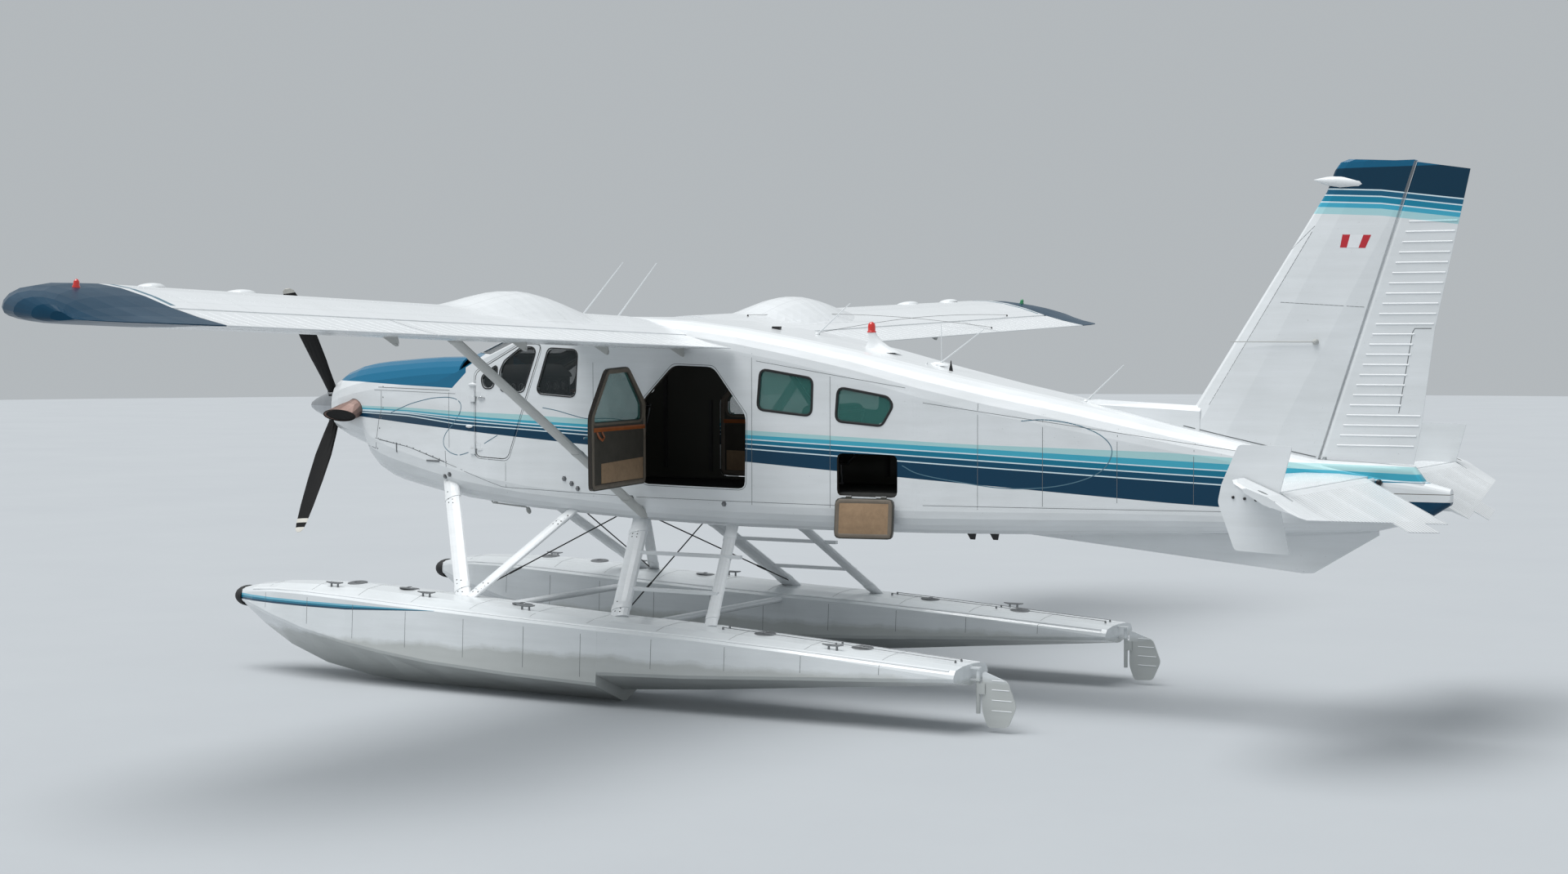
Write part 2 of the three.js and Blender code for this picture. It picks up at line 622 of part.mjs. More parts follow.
function blade(clock) {
  const out = new THREE.Vector3(0, -Math.sin(radians(clock)), -Math.cos(radians(clock)));
  const aft = new THREE.Vector3(1, 0, 0);
  const turning = out.clone().cross(aft);
  const rings = BLADE_SECTIONS.map(([radius, chord, thickness, pitch]) => {
    const along = turning.clone().multiplyScalar(Math.cos(radians(pitch)));
    along.addScaledVector(aft, Math.sin(radians(pitch)));
    const through = along.clone().cross(out);
    const centre = out.clone().multiplyScalar(radius).add(new THREE.Vector3(PROP_X, 0, 0));
    return ellipse(centre, along, through, chord / 2, thickness / 2, 12);
  });
  return loft(rings, Math.abs(out.z) > Math.abs(out.y) ? "z" : "y");
}

function buildPropeller() {
  const clocks = [0, 120, 240].map((step) => PROP_CLOCK + step);
  const hub = turnedAboutX([[HUB_FRONT_X, 0], [HUB_FRONT_X, 68], [SHAFT_END_X, 68], [SHAFT_END_X, 0]], 24);
  addPiece("propeller_blades", join(hub, ...clocks.map(blade)), "black");
  const ogive = (inwards) =>
    [0, 0.08, 0.22, 0.42, 0.64, 0.84, 1].map((t) => [
      inwards * 1.6 * (1 - t) + t * SPINNER_LENGTH,
      Math.max(SPINNER_RADIUS * Math.pow(t, 0.62) - (t === 0 ? 0 : inwards), 0),
    ]);
  const outside = ogive(0);
  const inside = ogive(7).reverse();
  inside[0][0] = SPINNER_LENGTH - 8;
  const profile = [...outside, [SPINNER_LENGTH, 68.3], [SPINNER_LENGTH - 8, 68.3], ...inside];
  const holes = clocks.map((clock) => {
    const hole = new THREE.CylinderGeometry(54, 54, 140, 20).translate(0, -150, 0);
    return hole.rotateX(Math.PI / 2).rotateX(-radians(clock)).translate(PROP_X, 0, 0);
  });
  addPiece("spinner", cut(turnedAboutX(profile, 32), ...holes), "polished");
}

// Wing

// Aerofoil: share of chord, height of the upper face and depth of the lower face over chord
const AEROFOIL = [
  [0, 0, 0],
  [0.0125, 0.032, 0.018],
  [0.05, 0.063, 0.031],
  [0.12, 0.092, 0.041],
  [0.22, 0.11, 0.047],
  [0.33, 0.115, 0.049],
  [0.45, 0.106, 0.045],
  [0.58, 0.083, 0.036],
  [0.72, 0.048, 0.025],
  [0.86, 0.021, 0.012],
  [1, 0.002, 0.002],
];

function aerofoilAt(share, column) {
  const next = Math.max(1, AEROFOIL.findIndex((row) => row[0] >= share));
  const [a, b] = [AEROFOIL[next - 1], AEROFOIL[next]];
  return THREE.MathUtils.lerp(a[column], b[column], (share - a[0]) / (b[0] - a[0]));
}

const chordLineZ = (share) => WING_TE_Z + (1 - share) * CHORD * INCIDENCE;
const upperZ = (x) => chordLineZ((x - WING_LE_X) / CHORD) + CHORD * aerofoilAt((x - WING_LE_X) / CHORD, 1);
const lowerZ = (x) => chordLineZ((x - WING_LE_X) / CHORD) - CHORD * aerofoilAt((x - WING_LE_X) / CHORD, 2);
const FLAP_HINGE_Z = (upperZ(FLAP_HINGE_X) + lowerZ(FLAP_HINGE_X)) / 2;
const FLAP_NOSE = (upperZ(FLAP_HINGE_X) - lowerZ(FLAP_HINGE_X)) / 2;

// Points of [x, z] on an arc about the flap hinge, from one angle to another in degrees
function hingeArc(radius, from, to, steps) {
  return Array.from({ length: steps + 1 }, (_, i) => {
    const angle = radians(from + ((to - from) * i) / steps);
    return [FLAP_HINGE_X + radius * Math.cos(angle), FLAP_HINGE_Z + radius * Math.sin(angle)];
  });
}

// Fixed part of the wing section, open at the back for a flap or aileron nose. The lips end
// where the moving surface still clears them at the travel up and down in degrees.
function fixedWingSection(travelUp, travelDown) {
  const cove = FLAP_NOSE + MOVING_GAP;
  const lipX = (travel) => FLAP_HINGE_X - Math.max(32, FLAP_NOSE * Math.sin(radians(travel)) + MOVING_GAP);
  const upperLip = lipX(travelUp);
  const lowerLip = lipX(travelDown);
  const shares = AEROFOIL.map((row) => row[0]).filter((share) => share < 0.7);
  const xs = shares.map((share) => WING_LE_X + share * CHORD);
  const upper = xs.slice().reverse().map((x) => [x, upperZ(x)]);
  const lower = xs.slice(1).map((x) => [x, lowerZ(x)]);
  const angleAt = (x) => THREE.MathUtils.radToDeg(Math.acos((x - FLAP_HINGE_X) / cove));
  const back = hingeArc(cove, -angleAt(lowerLip), angleAt(upperLip) - 360, 6);
  return [[upperLip, upperZ(upperLip)], ...upper, ...lower, [lowerLip, lowerZ(lowerLip)], ...back];
}

function movingSection() {
  const nose = hingeArc(FLAP_NOSE, 90, 270, 8);
  const share = 0.86;
  const middle = WING_LE_X + share * CHORD;
  const end = WING_LE_X + CHORD;
  return [[end, upperZ(end)], [middle, upperZ(middle)], ...nose, [middle, lowerZ(middle)], [end, lowerZ(end)]];
}

function spanned(section, side, ys) {
  return loft(ys.map((y) => section.map(([x, z]) => [x, side * y, z + y * DIHEDRAL])), "y");
}

// Tip planform: the leading edge sweeps back and the trailing edge forward along ellipses.
const TIP_LE_SWEEP = 1150;
const TIP_TE_SWEEP = 420;

function tipRing(side, t) {
  const curve = 1 - Math.sqrt(1 - t * t);
  const lead = WING_LE_X + TIP_LE_SWEEP * curve;
  const chord = CHORD - (TIP_LE_SWEEP + TIP_TE_SWEEP) * curve;
  const y = TIP_SEAM_Y + SEAT_GAP + t * (HALF_SPAN - TIP_SEAM_Y);
  const thin = Math.pow(chord / CHORD, 0.75);
  const point = (share, height) => {
    const z = WING_TE_Z + (1 - (lead + share * chord - WING_LE_X) / CHORD) * CHORD * INCIDENCE;
    return [lead + share * chord, side * y, z + height * CHORD * thin + y * DIHEDRAL - 18 * t * t];
  };
  const upper = AEROFOIL.slice().reverse().map(([share, high]) => point(share, high));
  const lower = AEROFOIL.slice(1).map(([share, , low]) => point(share, -low));
  return [...upper, ...lower];
}

const FLAP_TRAVEL = 50;
const AILERON_TRAVEL = 25;

// Hinge ribs reach back from the wing to the flap hinge line, and pins on the flap meet them.
const RIB_HALF = 4;
const PIN_GAP = 0.6;
const PIN_RADIUS = 8;
const HINGE_RIBS_Y = [640, FLAP_SPLIT_Y];

function hingeRib(side, y) {
  const [x, z] = [FLAP_HINGE_X, FLAP_HINGE_Z + y * DIHEDRAL];
  const outline = [[-90, -16], [8, -16], [16, -8], [16, 8], [8, 16], [-90, 16]];
  const placed = outline.map(([along, up]) => [x + along, z + up]);
  return sidePrism(placed, side * y - RIB_HALF, side * y + RIB_HALF);
}

function hingePin(side, y0, y1) {
  const ring = (y) => {
    const centre = new THREE.Vector3(FLAP_HINGE_X, side * y, FLAP_HINGE_Z + y * DIHEDRAL);
    return ellipse(centre, new THREE.Vector3(1, 0, 0), new THREE.Vector3(0, 0, 1), PIN_RADIUS, PIN_RADIUS, 12);
  };
  return loft([ring(y0), ring(y1)], "y");
}

// Bell-shaped cover over a wing's fuel tank: its rim lies inside the wing
const TANK_COVER = { x: 3960, y: 2140, long: 490, wide: 880, high: 150, sink: 7, depth: 30, steps: 12 };

function tankCover(side) {
  const { x: x0, y: y0, long, wide, high, sink, depth, steps } = TANK_COVER;
  const shares = Array.from({ length: steps + 1 }, (_, n) => (2 * n) / steps - 1);
  const rings = shares.map((out) => {
    const y = y0 + wide * out;
    const surface = (x) => upperZ(x) + y * DIHEDRAL - sink;
    const crest = shares.map((along) => {
      const rise = high * Math.max(0, 1 - out ** 2 - along ** 2) ** 1.5;
      return [x0 + long * along, side * y, surface(x0 + long * along) + rise];
    });
    const rim = crest.map(([x, across]) => [x, across, surface(x) - depth]);
    return [...crest, ...rim.reverse()];
  });
  return loft(rings, "y");
}

function buildWings() {
  const flapBay = fixedWingSection(0, FLAP_TRAVEL + 4);
  const aileronBay = fixedWingSection(AILERON_TRAVEL + 2, AILERON_TRAVEL + 2);
  for (const [name, side] of SIDES) {
    const inner = spanned(flapBay, side, [WING_ROOT_Y, FLAP_SPLIT_Y]);
    const outer = spanned(aileronBay, side, [FLAP_SPLIT_Y, TIP_SEAM_Y]);
    const ribs = HINGE_RIBS_Y.map((y) => hingeRib(side, y));
    const wing = seated(join(inner, outer, tankCover(side), ...ribs), cabinOuter, [[0, side, 0], [0, 0, 1]]);
    addPiece(`wing_${name}`, wing, "white");
    const tip = loft([0, 0.3, 0.55, 0.75, 0.88, 0.96, 0.993].map((t) => tipRing(side, t)), "y");
    addPiece(`wing_tip_${name}`, tip, "blue");
    const flap = join(
      spanned(movingSection(), side, [FLAP_ROOT_Y, FLAP_SPLIT_Y - 10]),
      hingePin(side, HINGE_RIBS_Y[0] + RIB_HALF + PIN_GAP, FLAP_ROOT_Y + 20),
      hingePin(side, FLAP_SPLIT_Y - 30, FLAP_SPLIT_Y - RIB_HALF - PIN_GAP),
    );
    addPiece(`flap_${name}`, flap, "white");
    const aileron = join(
      spanned(movingSection(), side, [FLAP_SPLIT_Y + 10, TIP_SEAM_Y - 12]),
      hingePin(side, FLAP_SPLIT_Y + RIB_HALF + PIN_GAP, FLAP_SPLIT_Y + 30),
      hingePin(side, TIP_SEAM_Y - 30, TIP_SEAM_Y + SEAT_GAP - PIN_GAP),
    );
    addPiece(`aileron_${name}`, aileron, "white");
    buildWingStrut(name, side, wing);
  }
}

const STRUT_FOOT = [4069, 520, -855];
const STRUT_TOP = [3889, 2960, 691];
const STRUT_CHORD = 115;
const STRUT_THICKNESS = 46;

function buildWingStrut(name, side, wing) {
  const foot = [STRUT_FOOT[0], side * STRUT_FOOT[1], STRUT_FOOT[2]];
  const top = [STRUT_TOP[0], side * STRUT_TOP[1], STRUT_TOP[2]];
  const bar = streamlinedBar(foot, top, STRUT_CHORD, STRUT_THICKNESS);
  const footed = seated(bar, cabinOuter, [[0, side, 0], [0, 0, -1]]);
  addPiece(`wing_strut_${name}`, seated(footed, wing, [[0, 0, -1]]), "grey");
}

// Tail

// Symmetric section between two stations with a round back or front about a hinge
function tailSection(lead, hinge, thickness, nose) {
  const span = hinge - nose - MOVING_GAP - lead;
  const half = [[0, 0], [0.03, 0.42], [0.12, 0.78], [0.35, 1], [0.7, 0.92], [1, (2 * nose) / thickness]];
  const upper = half.map(([share, high]) => [lead + share * span, (high * thickness) / 2]);
  return [...upper, ...upper.slice(1).reverse().map(([x, high]) => [x, -high])];
}

function movingTailSection(hinge, nose, chord, edge = 5) {
  const arc = Array.from({ length: 7 }, (_, i) => {
    const angle = radians(90 + (180 * i) / 6);
    return [hinge + nose * Math.cos(angle), nose * Math.sin(angle)];
  });
  return [[hinge + chord, edge / 2], ...arc, [hinge + chord, -edge / 2]];
}

// Elevator planform: distance from the centre line, chord aft of the hinge
const ELEVATOR_CHORDS = [
  [275, 661],
  [2360, 289],
  [2396, 250],
  [TAIL_HALF_SPAN, 170],
];
const TAB_ENDS = [658, 1145];
const TAB_CHORD = 135;
const HORN_ROOT_Y = FINLET_Y + FINLET_THICKNESS + 14;
const HORN_CHORDS = [[HORN_ROOT_Y, 290], [2300, 285], [2380, 245], [TAIL_HALF_SPAN, 170]];
const FINLET = [
  [9803, -68], [10168, -71], [10086, -372], [10092, -500], [10156, -781], [9779, -766], [9662, -450], [9687, -330],
];

function elevatorChord(y) {
  const next = Math.max(1, ELEVATOR_CHORDS.findIndex((row) => row[0] >= y));
  const [a, b] = [ELEVATOR_CHORDS[next - 1], ELEVATOR_CHORDS[next]];
  return THREE.MathUtils.lerp(a[1], b[1], (y - a[0]) / (b[0] - a[0]));
}

function buildTailplane() {
  const place = (section, y) => section.map(([x, z]) => [x, y, ELEVATOR_HINGE_Z + z]);
  const lead = (y) => 9330 + 0.18 * Math.abs(y);
  const stabiliser = loft(
    [-FINLET_Y, 0, FINLET_Y].map((y) => {
      const thickness = 105 - 0.016 * Math.abs(y);
      return place(tailSection(lead(y), ELEVATOR_HINGE_X, thickness, ELEVATOR_NOSE), y);
    }),
    "y",
  );
  addPiece("tailplane", stabiliser, "white");

  const halves = SIDES.map(([name, side]) => {
    const main = loft(
      ELEVATOR_CHORDS.map(([y, chord]) =>
        place(movingTailSection(ELEVATOR_HINGE_X, ELEVATOR_NOSE, chord), side * y),
      ),
      "y",
    );
    const horn = loft(
      HORN_CHORDS.map(([y, chord]) => {
        const front = ELEVATOR_HINGE_X - chord;
        const outline = [[front, 0], [front + 25, 16], [ELEVATOR_HINGE_X, 28], [ELEVATOR_HINGE_X + 60, 24]];
        const under = outline.slice(1).reverse().map(([x, z]) => [x, -z]);
        return place([...outline, ...under], side * y);
      }),
      "y",
    );
    const slot = box(ELEVATOR_HINGE_X - 60, ELEVATOR_HINGE_X + 92, ...[FINLET_Y - 12, HORN_ROOT_Y]
      .map((y) => side * y).sort((a, b) => a - b), -600, -200);
    const tab = loft(
      TAB_ENDS.map((y) => {
        const chord = elevatorChord(y);
        const start = ELEVATOR_HINGE_X + chord - 12;
        return place([[start, 4], [start + TAB_CHORD, -6], [start + TAB_CHORD, -12], [start, -4]], side * y);
      }),
      "y",
    );
    const inner = side * (FINLET_Y + SEAT_GAP);
    const faces = [inner, inner + side * FINLET_THICKNESS].sort((a, b) => a - b);
    addPiece(`finlet_${name}`, sidePrism(FINLET, ...faces, 25), "white");
    return join(cut(join(main, horn), slot), tab);
  });
  const tube = elevatorRod(ELEVATOR_TUBE_RADIUS, ELEVATOR_TUBE_LENGTH);
  const hinge = [ELEVATOR_HINGE_X, 0, ELEVATOR_HINGE_Z];
  addPiece("elevator", join(...halves, tube), "white", hinge, [0, 1, 0], ELEVATOR_DROOP);
  return stabiliser;
}

const ELEVATOR_TUBE_RADIUS = 20;
const ELEVATOR_TUBE_LENGTH = 600;
const ELEVATOR_BORE_LENGTH = 500;
const BORE_CLEARANCE = 0.5;

// Round rod across the aeroplane on the elevator's hinge line
function elevatorRod(radius, length) {
  const rod = new THREE.CylinderGeometry(radius, radius, length, 20);
  return rod.translate(ELEVATOR_HINGE_X, 0, ELEVATOR_HINGE_Z);
}

const rudderHingeX = (z) =>
  RUDDER_FOOT[0] + ((z - RUDDER_FOOT[1]) * (RUDDER_TOP[0] - RUDDER_FOOT[0])) / (RUDDER_TOP[1] - RUDDER_FOOT[1]);

// How far the top of the fin and of the rudder fall for each millimetre aft
const FIN_TOP_SLOPE = 0.06;
const RUDDER_TOP_SLOPE = 0.16;
// Fin leading edge: z, x
const FIN_LEAD = [[-420, 8372], [-20, 8610], [1687, 9698], [1840, 9758], [1897, 9800], [1918, 9860]];
// Rudder trailing edge: z, x
const RUDDER_TRAIL = [[-247, 10353], [0, 10410], [685, 10497], [1700, 10715], [1878, LENGTH]];
const RUDDER_FOOT_SLOPE = 0.07;
const BOSS_TOP_Z = -258;
const BOSS_RADIUS = 16;
const BOSS_DEPTH = 60;
const PIN_THINNER = 5;

// Round post along the rudder's hinge line between two heights, its ends square to the line
function rudderPost(z0, z1, radius) {
  const line = new THREE.Vector3(RUDDER_TOP[0] - RUDDER_FOOT[0], 0, RUDDER_TOP[1] - RUDDER_FOOT[1]).normalize();
  const square = new THREE.Vector3(line.z, 0, -line.x);
  const across = new THREE.Vector3(0, 1, 0);
  const ring = (z) => ellipse(new THREE.Vector3(rudderHingeX(z), 0, z), square, across, radius, radius, 16);
  return loft([ring(z0), ring(z1)], "z");
}

function buildFinAndRudder(boomOuter) {
  const finRings = FIN_LEAD.map(([z, lead], n) => {
    const thickness = 165 - 0.042 * (z + 420);
    const slope = n === FIN_LEAD.length - 1 ? FIN_TOP_SLOPE : 0;
    const outline = tailSection(lead, rudderHingeX(z) - 2, thickness, RUDDER_NOSE);
    return outline.map(([x, y]) => [x, y, z - slope * (x - lead)]);
  });
  const dorsal = loft(
    [[7560, 10, 150], [7900, 40, 150], [8400, 62, 128], [8750, 72, 112]].map(([x, half, top]) => [
      [x, -half, -300], [x, half, -300], [x, half * 0.8, top - 40], [x, half * 0.3, top], [x, -half * 0.3, top],
      [x, -half * 0.8, top - 40],
    ]),
    "x",
  );
  const fin = seated(join(loft(finRings, "z"), dorsal), boomOuter, [[0, 0, 1]]);
  addPiece("fin", keepAbove(fin, -330), "white");
  const rudderRings = RUDDER_TRAIL.map(([z, trail], n) => {
    const hinge = rudderHingeX(z);
    const slope = n === 0 ? RUDDER_FOOT_SLOPE : n === RUDDER_TRAIL.length - 1 ? RUDDER_TOP_SLOPE : 0;
    const outline = movingTailSection(hinge, RUDDER_NOSE - 0.004 * Math.max(z, 0), trail - hinge, 8);
    return outline.map(([x, y]) => [x, y, z - slope * (x - hinge)]);
  });
  const pin = rudderPost(BOSS_TOP_Z + PIN_GAP, RUDDER_TRAIL[0][0] + 20, BOSS_RADIUS - PIN_THINNER);
  addPiece("rudder", join(loft(rudderRings, "z"), pin), "white");
}

function keepAbove(geometry, z) {
  return common(geometry, box(7000, 11000, -400, 400, z, 2400));
}

const VENTRAL_FIN = [[7120, -800], [7120, -893], [9540, -1113], [9620, -1108], [10105, -812], [10105, -700]];

function buildBoom(stabiliser) {
  const outer = skin(BOOM_SECTIONS);
  const innerTable = shrunk(BOOM_SECTIONS.slice(1, 7), 25);
  const inner = skin([[6590, 491, -886, 361, 160, 195], ...innerTable]);
  const bore = elevatorRod(ELEVATOR_TUBE_RADIUS + BORE_CLEARANCE, ELEVATOR_BORE_LENGTH);
  const hollow = cut(outer, inner, bore);
  const ventral = cut(sidePrism(VENTRAL_FIN, -11, 11), inner);
  const boss = rudderPost(BOSS_TOP_Z - BOSS_DEPTH, BOSS_TOP_Z, BOSS_RADIUS);
  addPiece("tail_boom", seated(join(hollow, ventral, boss), stabiliser, ALL_WAYS), "white");
  return outer;
}

// Floats

// Sections: x, half beam at the chine, half deck, deck crown, deck edge, chine, keel
const FLOAT_SECTIONS = [
  [500, 105, 88, -1538, -1560, -1640, -1705],
  [700, 190, 165, -1497, -1530, -1680, -1850],
  [1000, 275, 235, -1462, -1508, -1745, -2010],
  [1400, 345, 290, -1447, -1505, -1830, -2145],
  [1900, 390, 325, -1452, -1520, -1910, -2225],
  [2300, 405, 340, -1470, -1538, -1960, -2250],
  [2810, 415, 350, -1500, -1560, -2010, -2250],
  [3600, 420, 355, -1545, -1592, -2050, -2250],
  [STEP_X, 415, 350, -1586, -1625, -2075, -2250],
  [STEP_X + 6, 413, 348, -1587, -1626, -1990, -2160],
  [5250, 388, 325, -1612, -1650, -1965, -2105],
  [6200, 345, 292, -1668, -1700, -1915, -2020],
  [TRANSOM_X, 288, 250, -1755, -1778, -1850, -1910],
];
const KEEL_HALF_WIDTH = 25;

function floatRing(side, [x, beam, deck, crown, edge, chine, keel]) {
  const half = [
    [0, crown], [deck * 0.55, crown - (crown - edge) * 0.25], [deck, edge], [deck + (beam - deck) * 0.7, edge - 30],
    [beam, chine + 15], [beam * 0.97, chine - 12], [KEEL_HALF_WIDTH, keel],
  ];
  const mirrored = half.slice(1).reverse().map(([y, z]) => [-y, z]);
  return [...half, ...mirrored].map(([y, z]) => [x, side * FLOAT_Y + y, z]);
}

// Struts on the starboard side: end on the fuselage, end on the float deck, chord, thickness
const FRONT_STRUT = [[1985, 455, -600], [2842, 1392, -1540], 142, 54];
const DIAGONAL_STRUT = [[3374, 470, -785], [2900, 1388, -1520], 108, 40];
const REAR_STRUT = [[3985, 440, -860], [4392, 1392, -1600], 165, 64];
const AFT_STRUT = [[4880, 440, -870], [5245, 1389, -1625], 110, 50];

function sided([x, y, z], side) {
  return [x, side * y, z];
}

function buildFloats() {
  const bars = SIDES.map(([name, side]) => {
    const hull = loft(FLOAT_SECTIONS.map((row) => floatRing(side, row)), "x");
    addPiece(`float_${name}`, join(hull, ...rudderLugs(side)), "white");
    addPiece(`bow_bumper_${name}`, bowBumper(side * FLOAT_Y), "rubber");
    const strut = ([top, foot, chord, thickness]) =>
      streamlinedBar(sided(top, side), sided(foot, side), chord, thickness);
    const fit = (geometry) => {
      const body = seated(geometry, cabinOuter, [[0, side, 0], [0, 0, -1]]);
      const cleared = seated(body, cowlOuter, [[0, side, 0], [0, 0, -1]]);
      return seated(cleared, hull, [[0, 0, 1]]);
    };
    addPiece(`front_struts_${name}`, fit(join(strut(FRONT_STRUT), strut(DIAGONAL_STRUT))), "white");
    const steps = [[-1130, 4120], [-1390, 4265]].map(([z, x]) => {
      const y = side * (440 + ((-860 - z) / 740) * 952);
      return box(x - 60, 5160, y - 22, y + 22, z - 14, z + 14);
    });
    const rear = join(strut(REAR_STRUT), strut(AFT_STRUT), ...steps);
    addPiece(`rear_struts_${name}`, fit(rear), "white");
    buildWaterRudder(name, side);
    return hull;
  });
  for (const [name, x, z] of [["front", 2830, -1640], ["rear", 4440, -1680]]) {
    const bar = streamlinedBar([x, -FLOAT_Y, z], [x, FLOAT_Y, z], 110, 55);
    const trimmed = seated(bar, bars[0], [[0, 1, 0]]);
    addPiece(`spreader_bar_${name}`, seated(trimmed, bars[1], [[0, -1, 0]]), "white");
  }
}

// Rubber nose: half an ellipsoid that ends flat against the float's first ring
const BUMPER = { x: 500, z: -1622, long: 132, wide: 118, high: 92, reach: 200 };

function bowBumper(y) {
  const { x, z, long, wide, high, reach } = BUMPER;
  const whole = new THREE.SphereGeometry(1, 20, 12).scale(long, wide, high).translate(x, y, z);
  return common(whole, box(x - reach, x - SEAT_GAP, y - reach, y + reach, z - reach, z + reach));
}

const POST_RADIUS = 16;
const POST_WALL = 6;
const POST_TOP = -1790;
const POST_BOTTOM = -2115;

// Lugs on the transom: one over the top of the rudder post and one that it passes through
function rudderLugs(side) {
  const y = side * FLOAT_Y;
  const half = POST_RADIUS + POST_WALL;
  const lug = (z0, z1) => box(TRANSOM_X - 12, WATER_RUDDER_X + 18, y - half, y + half, z0, z1);
  const bore = new THREE.CylinderGeometry(POST_RADIUS + 0.4, POST_RADIUS + 0.4, 60, 20);
  bore.rotateX(Math.PI / 2).translate(WATER_RUDDER_X, y, -1868);
  return [lug(POST_TOP + SEAT_GAP, POST_TOP + 14), cut(lug(-1875, -1861), bore)];
}

const WATER_RUDDER_BLADE = [
  [7596, -1800], [7800, -1870], [7870, -2050], [7800, -2205], [7640, -2215], [7596, -2100],
];

function buildWaterRudder(name, side) {
  const y = side * FLOAT_Y;
  const post = new THREE.CylinderGeometry(POST_RADIUS, POST_RADIUS, POST_TOP - POST_BOTTOM, 20);
  post.rotateX(Math.PI / 2).translate(WATER_RUDDER_X, y, (POST_TOP + POST_BOTTOM) / 2);
  const bladePlate = sidePrism(WATER_RUDDER_BLADE, y - 5, y + 5, 30);
  const arm = box(WATER_RUDDER_X, 7620, y - 14, y + 14, -1970, -1890);
  addPiece(`water_rudder_${name}`, join(post, bladePlate, arm), "grey", [WATER_RUDDER_X, y, 0]);
}

buildCabin();
buildGlass();
buildDoors();
buildInterior();
buildNose();
buildPropeller();
buildWings();
const stabiliser = buildTailplane();
const boomOuter = buildBoom(stabiliser);
buildFinAndRudder(boomOuter);
buildFloats();

airframe.position.set(-LENGTH / 2, 0, THRUST_ABOVE_KEEL);
const floatplane = new THREE.Group();
floatplane.add(airframe);

export default floatplane;
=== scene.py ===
# %% [markdown]
# # A bush floatplane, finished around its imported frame
# The aeroplane is a single-engined, high-wing turboprop on twin floats. Its solids come ready from CAD
# and are never changed here. This file paints them, and adds what is too fine for CAD: seals, rivets,
# beads, aerials, wires, pads. Every step first says what the real thing is and how it could be made, and
# then makes it.
#
# Loading the frame brings in each CAD solid as an object at the origin, with its place in its mesh.

# %% Load the frame
import json
import math

import bmesh
import bpy
import numpy as np
from mathutils import Matrix, Vector
from mathutils.bvhtree import BVHTree

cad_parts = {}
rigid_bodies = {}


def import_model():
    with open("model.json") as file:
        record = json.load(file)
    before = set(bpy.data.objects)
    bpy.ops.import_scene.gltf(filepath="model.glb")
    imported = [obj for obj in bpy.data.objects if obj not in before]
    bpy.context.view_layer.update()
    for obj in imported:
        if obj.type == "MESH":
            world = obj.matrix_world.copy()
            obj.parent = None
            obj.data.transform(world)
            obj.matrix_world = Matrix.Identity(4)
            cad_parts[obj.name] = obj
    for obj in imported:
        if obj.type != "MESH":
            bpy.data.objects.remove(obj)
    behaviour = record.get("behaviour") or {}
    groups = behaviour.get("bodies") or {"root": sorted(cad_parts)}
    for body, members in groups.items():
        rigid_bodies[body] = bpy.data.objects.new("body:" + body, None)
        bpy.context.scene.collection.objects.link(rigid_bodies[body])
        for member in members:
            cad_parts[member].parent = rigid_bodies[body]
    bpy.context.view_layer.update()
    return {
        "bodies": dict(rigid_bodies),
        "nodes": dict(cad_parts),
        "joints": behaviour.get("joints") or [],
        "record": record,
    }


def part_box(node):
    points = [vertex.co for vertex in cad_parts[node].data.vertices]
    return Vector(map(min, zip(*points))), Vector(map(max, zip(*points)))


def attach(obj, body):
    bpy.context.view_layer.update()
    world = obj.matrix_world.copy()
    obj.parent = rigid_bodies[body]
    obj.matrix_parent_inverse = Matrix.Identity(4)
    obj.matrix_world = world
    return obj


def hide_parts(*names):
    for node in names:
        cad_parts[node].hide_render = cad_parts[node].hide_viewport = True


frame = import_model()
nodes = frame["nodes"]

# %% [markdown]
# ## Stations
# Aeroplane makers name places by station: metres aft of a datum. Here x is counted aft from the spinner's
# tip, y to starboard and z up from the propeller's axis. The spinner's own box gives the datum, so
# nothing is typed twice.

# %% Stations
spinner_low, spinner_high = (Vector(corner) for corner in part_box("spinner"))
NOSE = spinner_low.x
THRUST = (spinner_low.z + spinner_high.z) / 2


def at(x, y, z):
    """A station place as a place in the frame."""
    return Vector((x + NOSE, y, z + THRUST))


print("datum at", round(NOSE, 3), round(THRUST, 3))

# %% [markdown]
# ## Camera
# The photo's camera stands on the port side, behind the wing, and looks forward with a long lens. Its
# place and angles were fitted to the span, length and chord. Building the three axes of the camera by
# hand keeps the tiny roll, which a Track To constraint would lose.

# %% Camera
yaw, pitch, roll = (math.radians(angle) for angle in (30.3175, -2.5322, -0.1283))
forward = Vector((-math.sin(yaw) * math.cos(pitch), math.cos(yaw) * math.cos(pitch), math.sin(pitch)))
level = Vector((math.cos(yaw), math.sin(yaw), 0))
over = level.cross(forward)
right = level * math.cos(roll) + over * math.sin(roll)
upward = over * math.cos(roll) - level * math.sin(roll)

lens = bpy.data.cameras.new("photo_camera")
lens.sensor_width = 36.0
lens.lens = 56.565
lens.clip_end = 400.0
camera = bpy.data.objects.new("photo_camera", lens)
bpy.context.scene.collection.objects.link(camera)
turned = Matrix((right, upward, -forward)).transposed().to_4x4()
camera.matrix_world = Matrix.Translation(at(15.3819, -17.5806, 0.7035)) @ turned
bpy.context.scene.camera = camera
print("camera", [round(v, 2) for v in camera.matrix_world.translation])

# %% [markdown]
# ## Shader maths
# A finish is arithmetic on places: how far aft, how high, how near a seam. Wiring each Math node by hand
# hides that arithmetic, so one small class holds a socket and lets Python's own operators add the nodes.
# Every other node, in materials and in Geometry Nodes alike, comes from its `node` method.

